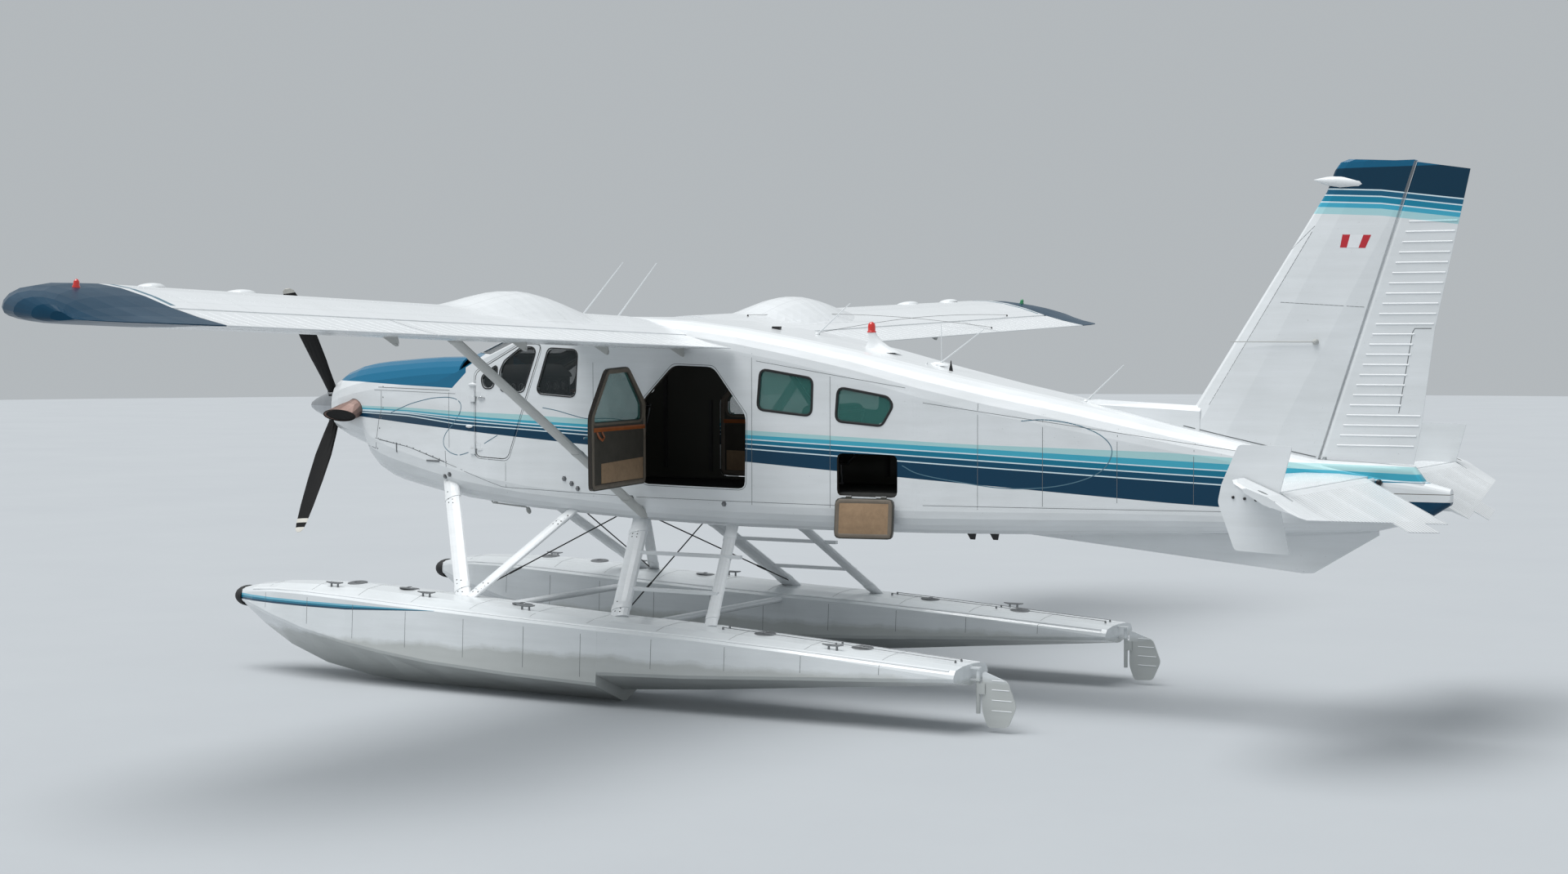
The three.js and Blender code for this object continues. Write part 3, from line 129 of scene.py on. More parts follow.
# %% Shader maths
class Field:
    """A socket whose value varies over a surface, written as a number in an expression."""

    def __init__(self, tree, socket):
        self.tree, self.socket = tree, socket

    def node(self, kind, settings=None, sockets=None, out=0):
        made = self.tree.nodes.new(kind)
        for name, value in (settings or {}).items():
            if name == "stops":
                ramp = made.color_ramp.elements
                ramp[0].position, ramp[0].color = value[0]
                ramp[1].position, ramp[1].color = value[-1]
                for position, colour in value[1:-1]:
                    ramp.new(position).color = colour
            else:
                setattr(made, name, value)
        for name, value in (sockets or {}).items():
            if isinstance(value, Field):
                self.tree.links.new(value.socket, made.inputs[name])
            else:
                made.inputs[name].default_value = value
        return Field(self.tree, made.outputs[out])

    def maths(self, operation, *others, clamp=False):
        """A Math node that takes this field first."""
        values = dict(enumerate((self, *others)))
        return self.node("ShaderNodeMath", {"operation": operation, "use_clamp": clamp}, values)

    def __add__(self, other):
        return self.maths("ADD", other)

    def __sub__(self, other):
        return self.maths("SUBTRACT", other)

    def __rsub__(self, other):
        return self.node("ShaderNodeMath", {"operation": "SUBTRACT"}, {0: other, 1: self})

    def __mul__(self, other):
        return self.maths("MULTIPLY", other)

    def __truediv__(self, other):
        return self.maths("DIVIDE", other)

    __radd__ = __add__
    __rmul__ = __mul__

    def magnitude(self):
        return self.maths("ABSOLUTE")

    def past(self, edge, soft=0.0015):
        """1 where the field is above the edge and 0 below, with a short soft step."""
        return ((self - edge) * (1 / soft)).maths("ADD", 0.5, clamp=True)

    def near(self, middle, half, soft=0.001):
        """1 within half of the middle."""
        return 1 - (self - middle).magnitude().past(half, soft)

    def both(self, other):
        return self.maths("MINIMUM", other)

    def either(self, other):
        return self.maths("MAXIMUM", other)

    def bent(self, knots):
        """A line that bends at knots of (where, value), held level beyond its ends."""
        places, values = zip(*knots)
        start, reach = places[0], places[-1] - places[0]
        low, rise = min(values), max(max(values) - min(values), 1e-6)
        stops = [((p - start) / reach, ((v - low) / rise,) * 3 + (1,)) for p, v in knots]
        ends = {"Value": self, "From Min": start, "From Max": start + reach}
        along = self.node("ShaderNodeMapRange", None, ends)
        return self.node("ShaderNodeValToRGB", {"stops": stops}, {"Fac": along}) * rise + low

    def parts(self):
        split = self.node("ShaderNodeSeparateXYZ", None, {0: self}).socket.node
        return [Field(self.tree, split.outputs[axis]) for axis in range(3)]

    def stretched(self, x, y, z):
        return self.node("ShaderNodeMapping", None, {"Vector": self, "Scale": (x, y, z)})

    def noise(self, scale, detail=3.0, rough=0.5):
        sockets = {"Vector": self, "Scale": scale, "Detail": detail, "Roughness": rough}
        return self.node("ShaderNodeTexNoise", None, sockets)

    def pick(self, low, high):
        """Mixes two colours by this field."""
        return self.node("ShaderNodeMix", {"data_type": "RGBA"}, {0: self, 6: low, 7: high}, out=2)

    def bump(self, strength, distance):
        return self.node("ShaderNodeBump", None, {"Height": self, "Strength": strength, "Distance": distance})


def ink(red, green, blue):
    """A paint chip's 0-255 screen values as the linear colour a shader wants."""
    linear = [((c / 255 + 0.055) / 1.055) ** 2.4 if c > 10 else c / 255 / 12.92 for c in (red, green, blue)]
    return (*linear, 1.0)


def finish_of(name, look, **steady):
    """A material. look(place, normal) returns what varies by socket; steady names sockets with one value."""
    made = bpy.data.materials.new(name)
    made.use_nodes = True
    shader = made.node_tree.nodes["Principled BSDF"]
    bare = Field(made.node_tree, None)
    place = bare.node("ShaderNodeTexCoord", out="Object")
    normal = Field(made.node_tree, place.socket.node.outputs["Normal"])
    for socket, value in look(place, normal).items():
        made.node_tree.links.new(value.socket, shader.inputs[socket])
    for socket, value in steady.items():
        shader.inputs[socket.replace("_", " ")].default_value = value
    return made


def stations_of(place):
    x, y, z = place.parts()
    return x - NOSE, y, z - THRUST


print("shader maths ready")

# %% [markdown]
# ## The turned pieces
# The port cabin door and the baggage hatch stand open at rest, and the elevator droops. Their paint and
# fittings are easier to say as if they were shut, so each such body has the matrix that opens it. A
# Mapping node takes the paint back to the shut place, and the mesh of each fitting is turned out with the
# matrix.

# %% Turned pieces
def about(point, degrees, axis):
    return (Matrix.Translation(point) @ Matrix.Rotation(math.radians(degrees), 4, Vector(axis))
            @ Matrix.Translation(-point))


STANDING = {
    "cabin_door_port": about(at(4.110, -0.639, 0), -83, (0, 0, 1)),
    "baggage_door": about(at(6.178, -0.565, -0.627), 175, (0.516, 0.0438, 0)),
    "elevator": about(at(10.082, 0, -0.410), 25, (0, 1, 0)),
}


def shut(field, body, kind="POINT"):
    """The field's vector with the body's standing turn undone."""
    if body not in STANDING:
        return field
    back = STANDING[body].inverted()
    sockets = {"Vector": field, "Rotation": tuple(back.to_euler())}
    if kind == "POINT":
        sockets["Location"] = tuple(back.translation)
    return field.node("ShaderNodeMapping", {"vector_type": kind}, sockets)


print("turned bodies:", ", ".join(STANDING))

# %% [markdown]
# ## White paint and its weather
# The whole airframe is gloss white enamel over riveted sheet. Close up it isn't one colour: it is
# chalkier where rain dries, and thin grey streaks run aft with the wind and down with the water. Two
# stretched noises give both, and a very small bump gives the slight drumming of sheet between frames.

# %% White paint
WHITE = ink(226, 229, 231)
WEATHERED = ink(203, 206, 206)
# This dark grey is dirt in the specks, the cone seam and the exhaust trail, and painted shade in the grooves
# of the elevator's flutes.
GRIME_AND_SHADE = ink(120, 118, 112)

GLOSS = dict(Coat_Weight=0.08, Coat_Roughness=0.1, Specular_IOR_Level=0.22)


def weather(place, clean=WHITE, dull=WEATHERED):
    """The paint's colour, roughness and drumming."""
    cloud = place.noise(2.2, 4)
    streak = place.stretched(0.7, 9, 9).noise(1.6, 5, 0.6)
    worn = (cloud * 0.6 + streak * 0.7 - 0.45).maths("MULTIPLY", 1.1, clamp=True)
    colour = worn.pick(clean, dull)
    speck = place.noise(60, 2, 0.7).past(0.74, 0.04) * 0.35
    colour = speck.pick(colour, GRIME_AND_SHADE)
    return colour, worn * 0.22 + 0.16, place.noise(3.5, 2)


def painted(colour, rough, drum, strength=0.25):
    """What a painted sheet varies: colour, roughness and its slight drumming."""
    return {"Base Color": colour, "Roughness": rough, "Normal": drum.bump(strength, 0.01)}


def plain_white(place, normal):
    return painted(*weather(place))


wing_white = finish_of("wing_white", plain_white, **GLOSS)
print(wing_white.name)

# %% [markdown]
# ## Stripes along the side
# Five bands sweep from a point behind the propeller to the tail: pale blue, light teal, teal, dark teal
# and navy, the last four parted by thin white lines. Each edge is a height that bends at a few stations,
# so each is one ramp of x. Painting down from the top, every edge covers what lies below it, and the last
# edge brings back the white.

# %% Stripe edges
PALE, LIGHT_TEAL, TEAL = ink(168, 208, 210), ink(66, 166, 190), ink(14, 112, 140)
DARK_TEAL, NAVY, LINE = ink(4, 70, 98), ink(1, 54, 80), ink(214, 230, 236)
HALF_LINE = 0.0045
STRIPE_START = 0.860
STRIPE_EDGES = [
    [(0.93, 0.017), (1.534, 0.008), (2.13, -0.011), (2.890, -0.027), (6.987, -0.196), (8.585, -0.232),
     (9.45, -0.287), (10.36, -0.306)],
    [(0.93, -0.002), (1.534, -0.014), (2.13, -0.044), (2.890, -0.074), (6.987, -0.225), (8.585, -0.290),
     (9.45, -0.329), (10.36, -0.358)],
    [(0.93, -0.020), (1.534, -0.031), (2.13, -0.065), (2.890, -0.100), (6.987, -0.267), (8.585, -0.342),
     (10.35, -0.412)],
    [(0.93, -0.026), (1.534, -0.043), (2.13, -0.089), (2.890, -0.125), (6.987, -0.315), (8.585, -0.392),
     (10.35, -0.470)],
    [(0.93, -0.043), (1.534, -0.064), (2.13, -0.122), (2.890, -0.152), (6.987, -0.365), (8.585, -0.445),
     (10.35, -0.530)],
    [(0.93, -0.082), (1.534, -0.130), (2.890, -0.223), (6.987, -0.500), (8.585, -0.608), (10.35, -0.700)],
]
BANDS = [PALE, LIGHT_TEAL, TEAL, DARK_TEAL, NAVY]
# The tail cone aft of the elevator: a light band, then white down to a seam, then navy
CONE_START, CONE_WHITE_Z, CONE_SEAM_Z, CONE_NAVY_Z, CONE_FOOT_Z = 10.13, -0.420, -0.498, -0.553, -0.680


def striped(x, z, white):
    """The banded paint over white."""
    colour = white
    depths = [x.bent(edge) - z for edge in STRIPE_EDGES]
    for number, band in enumerate(BANDS):
        depth = depths[number]
        if number > 1:
            colour = depth.past(-HALF_LINE).pick(colour, LINE)
            depth = depth - HALF_LINE
        colour = depth.past(0).pick(colour, band)
    colour = depths[-1].past(0).pick(colour, white)
    cone = z.past(CONE_WHITE_Z).pick(white, colour)
    cone = z.past(CONE_NAVY_Z).pick(NAVY, cone)
    cone = z.past(CONE_FOOT_Z).pick(white, cone)
    cone = z.near(CONE_SEAM_Z, 0.003).pick(cone, GRIME_AND_SHADE)
    colour = x.past(CONE_START, 0.004).pick(colour, cone)
    return x.past(STRIPE_START, 0.004).pick(white, colour)


print("stripe edges:", len(STRIPE_EDGES))

# %% [markdown]
# ## Body paint
# The fuselage wears the stripes outside, a blue glare panel on top of the cowl, and grey-green lining
# inside the cabin. The lining is found by the surface's own normal: where it points back to the middle of
# the cabin, it is an inner face. The blue panel is the part of the cowl above a line that falls aft and
# then climbs steeply.

# %% Body paint
GLARE_BLUE = ink(28, 104, 138)
LINING = ink(88, 88, 82)
# The edges of the port cabin and hatch openings: low x, high x, low z, high z
JAMBS = [(4.100, 5.116, -0.606, 0.412), (5.910, 6.446, -0.636, -0.276)]
JAMB_BROWN = ink(62, 56, 50)
CABIN_MIDDLE_Z, CABIN_END_X = -0.1, 6.56
GLARE_EDGE = [(0.45, 0.238), (0.88, 0.232), (1.43, 0.209), (2.08, 0.189), (2.25, 0.325)]
GLARE_END = 2.25
SOOT_TRAIL = [(0.95, 0.0), (1.2, 0.22), (2.9, 0.0)]
SOOT_Z = -0.05


def body_look(body):
    def look(place, normal):
        place, normal = shut(place, body), shut(normal, body, "VECTOR")
        x, y, z = stations_of(place)
        white, rough, drum = weather(place)
        colour = striped(x, z, white)
        glare = (z - x.bent(GLARE_EDGE)).past(0).both(1 - x.past(GLARE_END)).both(z.past(0.15))
        colour = glare.pick(colour, GLARE_BLUE)
        soot = x.bent(SOOT_TRAIL) * (z - SOOT_Z).magnitude().bent([(0, 1), (0.16, 0)])
        colour = soot.pick(colour, GRIME_AND_SHADE)
        _, across, upright = normal.parts()
        inward = 0 - (across * y + upright * (z - CABIN_MIDDLE_Z))
        lining = inward.past(0.05, 0.02).both(x.past(1.85)).both(1 - x.past(CABIN_END_X))
        weave = place.noise(220, 2)
        colour = lining.pick(colour, weave.pick(LINING, ink(66, 66, 61)))
        for low_x, high_x, low_z, high_z in JAMBS:
            inside = x.past(low_x).both(1 - x.past(high_x)).both(z.past(low_z)).both(1 - z.past(high_z))
            facing = across.magnitude().past(0.55, 0.02)
            colour = inside.both(1 - facing).both(1 - y.past(0)).pick(colour, JAMB_BROWN)
        return painted(colour, rough.either(lining * 0.7), drum)
    return look


body_paint = finish_of("body_paint", body_look("airframe"), **GLOSS)
door_paint = finish_of("open_door_paint", body_look("cabin_door_port"), **GLOSS)
hatch_paint = finish_of("open_hatch_paint", body_look("baggage_door"), **GLOSS)
print(body_paint.name, len(body_paint.node_tree.nodes), "nodes")

# %% [markdown]
# ## Fin paint
# The fin's bands repeat the side's in the other order, and sag a little towards the back. A height with
# that sag taken out makes every band level. The cap is a lighter blue than the navy under it.

# %% Fin paint
FIN_SAG = [(9.60, 0.027), (10.11, 0.0), (10.72, -0.081)]
CAP_BLUE, FIN_NAVY = ink(20, 92, 126), ink(10, 52, 74)
FIN_BANDS = [(1.499, ink(169, 209, 214)), (1.549, ink(68, 166, 194)), (1.591, ink(28, 128, 158)),
             (1.641, ink(26, 92, 122)), (1.686, FIN_NAVY)]
CAP_Z = 1.853


def fin_look(place, normal):
    x, _, z = stations_of(place)
    colour, rough, drum = weather(place)
    height = z - x.bent(FIN_SAG)
    for number, (bottom, band) in enumerate(FIN_BANDS):
        if number > 1:
            colour = height.past(bottom - HALF_LINE).pick(colour, LINE)
        colour = height.past(bottom + HALF_LINE).pick(colour, band)
    return painted(z.past(CAP_Z).pick(colour, CAP_BLUE), rough, drum)


fin_paint = finish_of("fin_paint", fin_look, **GLOSS)
print(fin_paint.name)

# %% [markdown]
# ## Float paint
# The floats are the same white, greyer where they meet the water, with a short tapering flash of three
# blues under the deck's edge at the bow. The waterline stain is a noise-edged band at one height.

# %% Float paint
FLASH_TOP = -1.588
FLASH_DEPTH = [(0.5, 0.052), (1.9, 0.044), (2.9, 0.0)]
STAIN_Z = -1.86


def float_look(place, normal):
    x, y, z = stations_of(place)
    colour, rough, drum = weather(place, ink(222, 226, 228), ink(196, 200, 201))
    share = (FLASH_TOP - z) / x.bent(FLASH_DEPTH).either(0.0001)
    outer = y.magnitude().past(1.40, 0.01).both(1 - x.past(2.85))
    flash = share.past(0, 0.02).both(1 - share.past(1, 0.02)).both(outer)
    band = share.past(0.34, 0.05).pick(ink(108, 178, 200), TEAL)
    band = share.past(0.67, 0.05).pick(band, NAVY)
    colour = flash.pick(colour, band)
    wet = (STAIN_Z - z + place.noise(4, 4) * 0.12 - 0.06).past(0, 0.05)
    colour = (wet * 0.45).pick(colour, ink(128, 130, 118))
    return painted(colour, rough + wet * 0.12, drum, 0.3)


float_paint = finish_of("float_paint", float_look, Coat_Weight=0.3, Coat_Roughness=0.1)
print(float_paint.name)

# %% [markdown]
# ## One simple look, many finishes
# Rubber, plastic, leather and bare metal need the same three things: two tones mixed by a noise, a
# roughness that follows it, and a fine bump. One function makes that look from its sizes, and the
# shader's own sockets do the rest.

# %% Simple finishes
def toned(light, dark, scale, rough, spread, bump, grain=None):
    def look(place, normal):
        cloud = place.noise(scale, 4, 0.6)
        fine = place.noise(grain or scale * 6, 3, 0.6)
        return {"Base Color": cloud.pick(light, dark), "Roughness": cloud * spread + rough,
                "Normal": fine.bump(0.4, bump)}
    return look


def plain(name, light, dark, *sizes, **sockets):
    """A finish of two tones and the toned look's sizes."""
    return finish_of(name, toned(ink(*light), ink(*dark), *sizes), **sockets)


tip_blue = plain("tip_blue", (2, 58, 84), (2, 46, 68), 4, 0.24, 0.15, 0.0004, Specular_IOR_Level=0.12)
strut_grey = plain("strut_grey", (188, 189, 186), (166, 168, 166), 5, 0.3, 0.2, 0.0005)
rubber = plain("rubber", (20, 20, 21), (34, 34, 35), 30, 0.55, 0.25, 0.0006)
seam_dark = plain("seam_dark", (120, 124, 126), (84, 88, 90), 18, 0.5, 0.2, 0.0003)
chrome = plain("polished_metal", (214, 216, 218), (186, 189, 192), 6, 0.1, 0.14, 0.0002, Metallic=0.85)
steel = plain("brushed_steel", (150, 152, 154), (110, 112, 114), 25, 0.3, 0.25, 0.0003, Metallic=0.9)
black_metal = plain("black_enamel", (18, 18, 20), (30, 30, 32), 12, 0.28, 0.2, 0.0003)
bronze = plain("heat_bronze", (146, 124, 116), (112, 86, 78), 9, 0.38, 0.25, 0.0006, Metallic=0.45)
# This black is soot on the exhaust lips. On the plates in their mouths it is also painted shade for the dark
# inside of the pipes.
soot_and_shade_black = plain("soot", (10, 10, 10), (20, 19, 18), 14, 0.8, 0.15, 0.0008)
engine_grey = plain("engine_grey", (70, 72, 74), (44, 45, 47), 10, 0.4, 0.3, 0.001, Metallic=0.6)
trim_grey = plain("trim_plastic", (70, 70, 68), (52, 52, 51), 14, 0.55, 0.2, 0.0008, 400)
leather = plain("seat_leather", (96, 88, 78), (70, 64, 57), 8, 0.45, 0.2, 0.0012, 320)
wood = plain("varnished_strip", (176, 98, 48), (130, 70, 36), 16, 0.3, 0.2, 0.0004, Coat_Weight=0.5)
tan_cloth = plain("tan_pocket", (166, 138, 108), (126, 104, 82), 20, 0.85, 0.1, 0.0012, 500)
door_liner = plain("door_liner", (70, 66, 57), (52, 48, 42), 10, 0.7, 0.2, 0.0010, 350)
swoosh_blue = plain("swoosh_blue", (84, 122, 138), (66, 104, 122), 10, 0.25, 0.15, 0.0002)
flag_red = plain("patch_red", (196, 40, 52), (176, 32, 44), 8, 0.3, 0.15, 0.0002)
white_mark = plain("patch_white", (236, 238, 240), (222, 224, 226), 8, 0.3, 0.15, 0.0002)
door_frame = plain("door_frame_paint", (122, 112, 100), (92, 84, 74), 12, 0.5, 0.2, 0.0007, 260)
belt_grey = plain("belt_webbing", (120, 118, 112), (92, 90, 86), 30, 0.8, 0.1, 0.0012, 600)
print("simple finishes made")

# %% [markdown]
# ## Propeller, glass and wing paint
# A propeller's tips are banded so that the spinning disc can be seen. The bands are rings about the
# shaft, so they come from the distance to it. Window glass here is green-tinted acrylic: a dark, glossy,
# partly clear sheet reads the same from both sides and costs no bounces. The wing's white is parted by
# rib and skin seams, drawn as thin lines.

# %% Banded blades, glass, seamed wing
WHITE_TIP = [(1.140, 1.180), (1.226, 1.30)]
SPINNER_SEAM_X = 0.372


def blade_look(place, normal):
    _, y, z = stations_of(place)
    radius = (y * y + z * z).maths("SQRT")
    scuff = place.noise(14, 4, 0.6)
    colour = scuff.pick(ink(12, 12, 13), ink(26, 26, 27))
    for inner, outer in WHITE_TIP:
        band = radius.past(inner).both(1 - radius.past(outer))
        colour = band.pick(colour, scuff.pick(ink(222, 220, 214), ink(186, 182, 172)))
    return {"Base Color": colour, "Roughness": scuff * 0.25 + 0.5,
            "Normal": place.noise(90, 2).bump(0.3, 0.0004)}


def spinner_look(place, normal):
    x, _, _ = stations_of(place)
    cloud = place.noise(7, 4)
    seam = x.near(SPINNER_SEAM_X, 0.0015)
    colour = cloud.pick(ink(186, 189, 192), ink(150, 153, 157))
    return {"Base Color": seam.pick(colour, ink(70, 72, 74)), "Roughness": cloud * 0.12 + 0.1}


def glass_look(tint, clear):
    def look(place, normal):
        film = place.noise(5, 3)
        return {"Base Color": film.pick(tint, tuple(c * 0.7 for c in tint[:3]) + (1,)),
                "Alpha": film * 0.12 + clear, "Roughness": film * 0.05 + 0.03}
    return look


RIB_PITCH, SPAR_SHARES = 0.457, (3.68, 4.05, 4.40)


def wing_look(place, normal):
    x, y, _ = stations_of(place)
    colour, rough, drum = weather(place)
    share = (y.magnitude() / RIB_PITCH).maths("FRACT")
    seam = share.near(0.5, 0.0022, 0.002)
    for spar in SPAR_SHARES:
        seam = seam.either(x.near(spar, 0.0012))
    colour = (seam * 0.4).pick(colour, ink(96, 98, 100))
    # Faces that point down are painted a darker grey in streaks that run aft: painted shade under the wing.
    underside_shade = (1 - normal.parts()[2].past(-0.3, 0.3)) * place.stretched(1, 14, 14).noise(1.2, 4) * 0.5
    return painted(underside_shade.pick(colour, ink(150, 150, 146)), rough, drum, 0.3)


CORRUGATION, ELEVATOR_SKIN_X = 0.052, 10.130


def elevator_look(place, normal):
    """White sheet pressed into fine flutes behind the hinge line."""
    place = shut(place, "elevator")
    x, y, _ = stations_of(place)
    colour, rough, _ = weather(place)
    flute = ((y / CORRUGATION).maths("FRACT") - 0.5).magnitude()
    fluted = x.past(ELEVATOR_SKIN_X, 0.004).both(1 - y.magnitude().past(2.06))
    # The bottom of each flute is painted darker: painted shade in the groove.
    flute_shade = flute.bent([(0, 1), (0.13, 0)]) * fluted
    colour = (flute_shade * 0.55).pick(colour, GRIME_AND_SHADE)
    height = flute.bent([(0, 0), (0.25, 0.8), (0.5, 1)]) * fluted
    return {"Base Color": colour, "Roughness": rough, "Normal": height.bump(0.5, 0.006)}


elevator_paint = finish_of("elevator_paint", elevator_look, **GLOSS)
blade_paint = finish_of("blade_paint", blade_look, Specular_IOR_Level=0.2)
spinner_metal = finish_of("spinner_metal", spinner_look, Metallic=0.8, Coat_Weight=0.4)
aqua_glass = finish_of("aqua_glass", glass_look(ink(58, 128, 120), 0.42))
clear_glass = finish_of("windscreen_glass", glass_look(ink(48, 56, 58), 0.30))
wing_paint = finish_of("wing_paint", wing_look, **GLOSS)
for shine in (aqua_glass, clear_glass):
    shine.surface_render_method = "BLENDED"
print("blades, glass and wing painted")

# %% [markdown]
# ## Dressing the CAD nodes
# A node whose shape is right only needs its finish. Each goes into the node's own material slot, and the
# mesh isn't touched.

# %% Dress the nodes
DRESS = {
    "nose_cowl cabin_roof cabin_belly tail_boom firewall rear_bulkhead": body_paint,
    "cabin_side_port cabin_side_starboard pilot_door_port pilot_door_starboard": body_paint,
    "cabin_door_starboard": body_paint,
    "cabin_door_port": door_paint,
    "baggage_door": hatch_paint,
    "wing_port wing_starboard flap_port flap_starboard aileron_port aileron_starboard": wing_paint,
    "tailplane finlet_port finlet_starboard": wing_white,
    "elevator": elevator_paint,
    "wing_tip_port wing_tip_starboard": tip_blue,
    "fin rudder": fin_paint,
    "float_port float_starboard water_rudder_port water_rudder_starboard": float_paint,
    "front_struts_port front_struts_starboard rear_struts_port rear_struts_starboard": wing_white,
    "spreader_bar_front spreader_bar_rear": wing_white,
    "wing_strut_port wing_strut_starboard": strut_grey,
    "propeller_blades": blade_paint,
    "spinner": spinner_metal,
    "exhaust_port exhaust_starboard": bronze,
    "engine_block": engine_grey,
    "cabin_floor instrument_panel": trim_grey,
    "pilot_seat copilot_seat bench_seat": leather,
    "windscreen": clear_glass,
    "bow_bumper_port bow_bumper_starboard": rubber,
}
for names, finish in DRESS.items():
    for name in names.split():
        for holder in nodes[name].material_slots:
            holder.material = finish
for name, node in nodes.items():
    if "window" in name:
        forward_window = name.startswith(("pilot_door_window", "side_window"))
        for holder in node.material_slots:
            holder.material = clear_glass if forward_window else aqua_glass
print("dressed by name:", len(" ".join(DRESS).split()), "of", len(nodes))

# %% [markdown]
# ## Floor and light
# A pale floor and soft light from everywhere stand in for the overcast sky. One broad sun, very soft,
# gives the tops their brighter side as in the photo. The floor is a wide disc whose rim is beyond every
# view.

# %% Floor and light
FLOOR_RADIUS, FLOOR_SIDES = 90.0, 96


def around(count):
    """The cosine and sine of a count of even turns."""
    return [(math.cos(2 * math.pi * n / count), math.sin(2 * math.pi * n / count)) for n in range(count)]


scene = bpy.context.scene
floor_mesh = bpy.data.meshes.new("studio_floor")
rim = [(FLOOR_RADIUS * across, FLOOR_RADIUS * along, 0.0) for across, along in around(FLOOR_SIDES)]
floor_mesh.from_pydata(rim, [], [list(range(FLOOR_SIDES))])
floor = bpy.data.objects.new("studio_floor", floor_mesh)
scene.collection.objects.link(floor)
floor_tones = toned(ink(178, 182, 185), ink(170, 174, 178), 0.4, 0.6, 0.1, 0.0005)
floor_mesh.materials.append(finish_of("floor_paint", floor_tones))

sky = bpy.data.worlds.new("soft_sky")
scene.world = sky
sky.use_nodes = True
sky.node_tree.nodes["Background"].inputs["Color"].default_value = ink(216, 222, 226)
sky.node_tree.nodes["Background"].inputs["Strength"].default_value = 0.66
sun = bpy.data.lights.new("broad_sun", "SUN")
sun.energy, sun.angle = 3.1, math.radians(50)
sun_holder = bpy.data.objects.new("broad_sun", sun)
sun_holder.rotation_euler = (math.radians(17), math.radians(-12), math.radians(-10))
scene.collection.objects.link(sun_holder)
scene.view_settings.view_transform = "Standard"
print("floor radius", FLOOR_RADIUS, "sun", sun.energy)

# %% [markdown]
# ## Skins to lay things on
# Seals, seams and rivets lie on the aeroplane's skin, so each place needs the skin's exact point and
# normal. A ray cast onto a tree of the CAD triangles gives both. The starboard side is whole and shut, so
# the port side's places are found there and mirrored; anything on a turned body is found in its shut
# place.

# %% Skins
def skin_of(*names):
    """A ray tree of CAD nodes, with any standing turn undone."""
    points, faces = [], []
    for name in names:
        back = STANDING[name].inverted() if name in STANDING else Matrix()
        first = len(points)
        points += [back @ vertex.co for vertex in nodes[name].data.vertices]
        faces += [[first + n for n in face.vertices] for face in nodes[name].data.polygons]
    return BVHTree.FromPolygons(points, faces)


hull_skin = skin_of("nose_cowl", "cabin_roof", "cabin_side_starboard", "cabin_belly", "pilot_door_starboard",
                    "cabin_door_starboard", "tail_boom")
FAR = 12.0
OUTER_FACE = 0.12
COMPASS = ((1, 0), (-1, 0), (0, 1), (0, -1), (1, 1), (-1, -1), (1, -1), (-1, 1))
NUDGES = [(0, 0)] + [(dx * reach, dz * reach) for reach in (0.008, 0.016, 0.03) for dx, dz in COMPASS]


def cast(skin, start, way):
    """The skin's place and outward normal met from start along way, or None."""
    place, normal, _, _ = skin.ray_cast(start, Vector(way), FAR * 2)
    return None if place is None else (place, normal)


def laid(met, lift=0.0):
    """A line of what the rays met: its places, lifted along the normals, and its normals."""
    met = [hit for hit in met if hit]
    return [place + normal * lift for place, normal in met], [normal for _, normal in met]


def side_of(x, z, side=-1, skin=hull_skin):
    """Place and normal on the fuselage's side; side is -1 to port and 1 to starboard. A ray that falls in
    a gap between two nodes is tried again beside it."""
    for dx, dz in NUDGES:
        met = cast(skin, at(x + dx, FAR / 2, z + dz), (0, -1, 0))
        if met and met[1].y > OUTER_FACE:
            place, normal = met
            return at(x, place.y * side, z), Vector((normal.x, normal.y * side, normal.z))
    raise ValueError(f"no skin at {x:.3f} {z:.3f}")


def top_of(x, y, skin=hull_skin):
    """Place and normal on the top, met from above."""
    return cast(skin, at(x, y, FAR / 2), (0, 0, -1))


def under_of(x, y, skin=hull_skin):
    """Place and normal on the underside, met from below."""
    return cast(skin, at(x, y, -FAR / 2), (0, 0, 1))


print("side at x 3.2:", [round(v, 3) for v in side_of(3.2, 0.0)[0]])

# %% [markdown]
# ## A pile of closed lumps
# Most fittings are a few closed lumps that share a finish: a swept bar, a turned knob, a plate. `Pile`
# gathers them and hands back one finished piece with its doubles merged and its faces outward. Sweeping a
# cross-section along a path, with the section turned to the skin's normal, makes seals and strips;
# turning a profile about an axis makes caps, bolts and lamps.

# %% Pile
def square_to(way):
    """Two unit vectors square to a way and to each other."""
    helper = Vector((0, 0, 1)) if abs(way.z) < 0.9 else Vector((1, 0, 0))
    first = way.cross(helper).normalized()
    return first, way.cross(first).normalized()


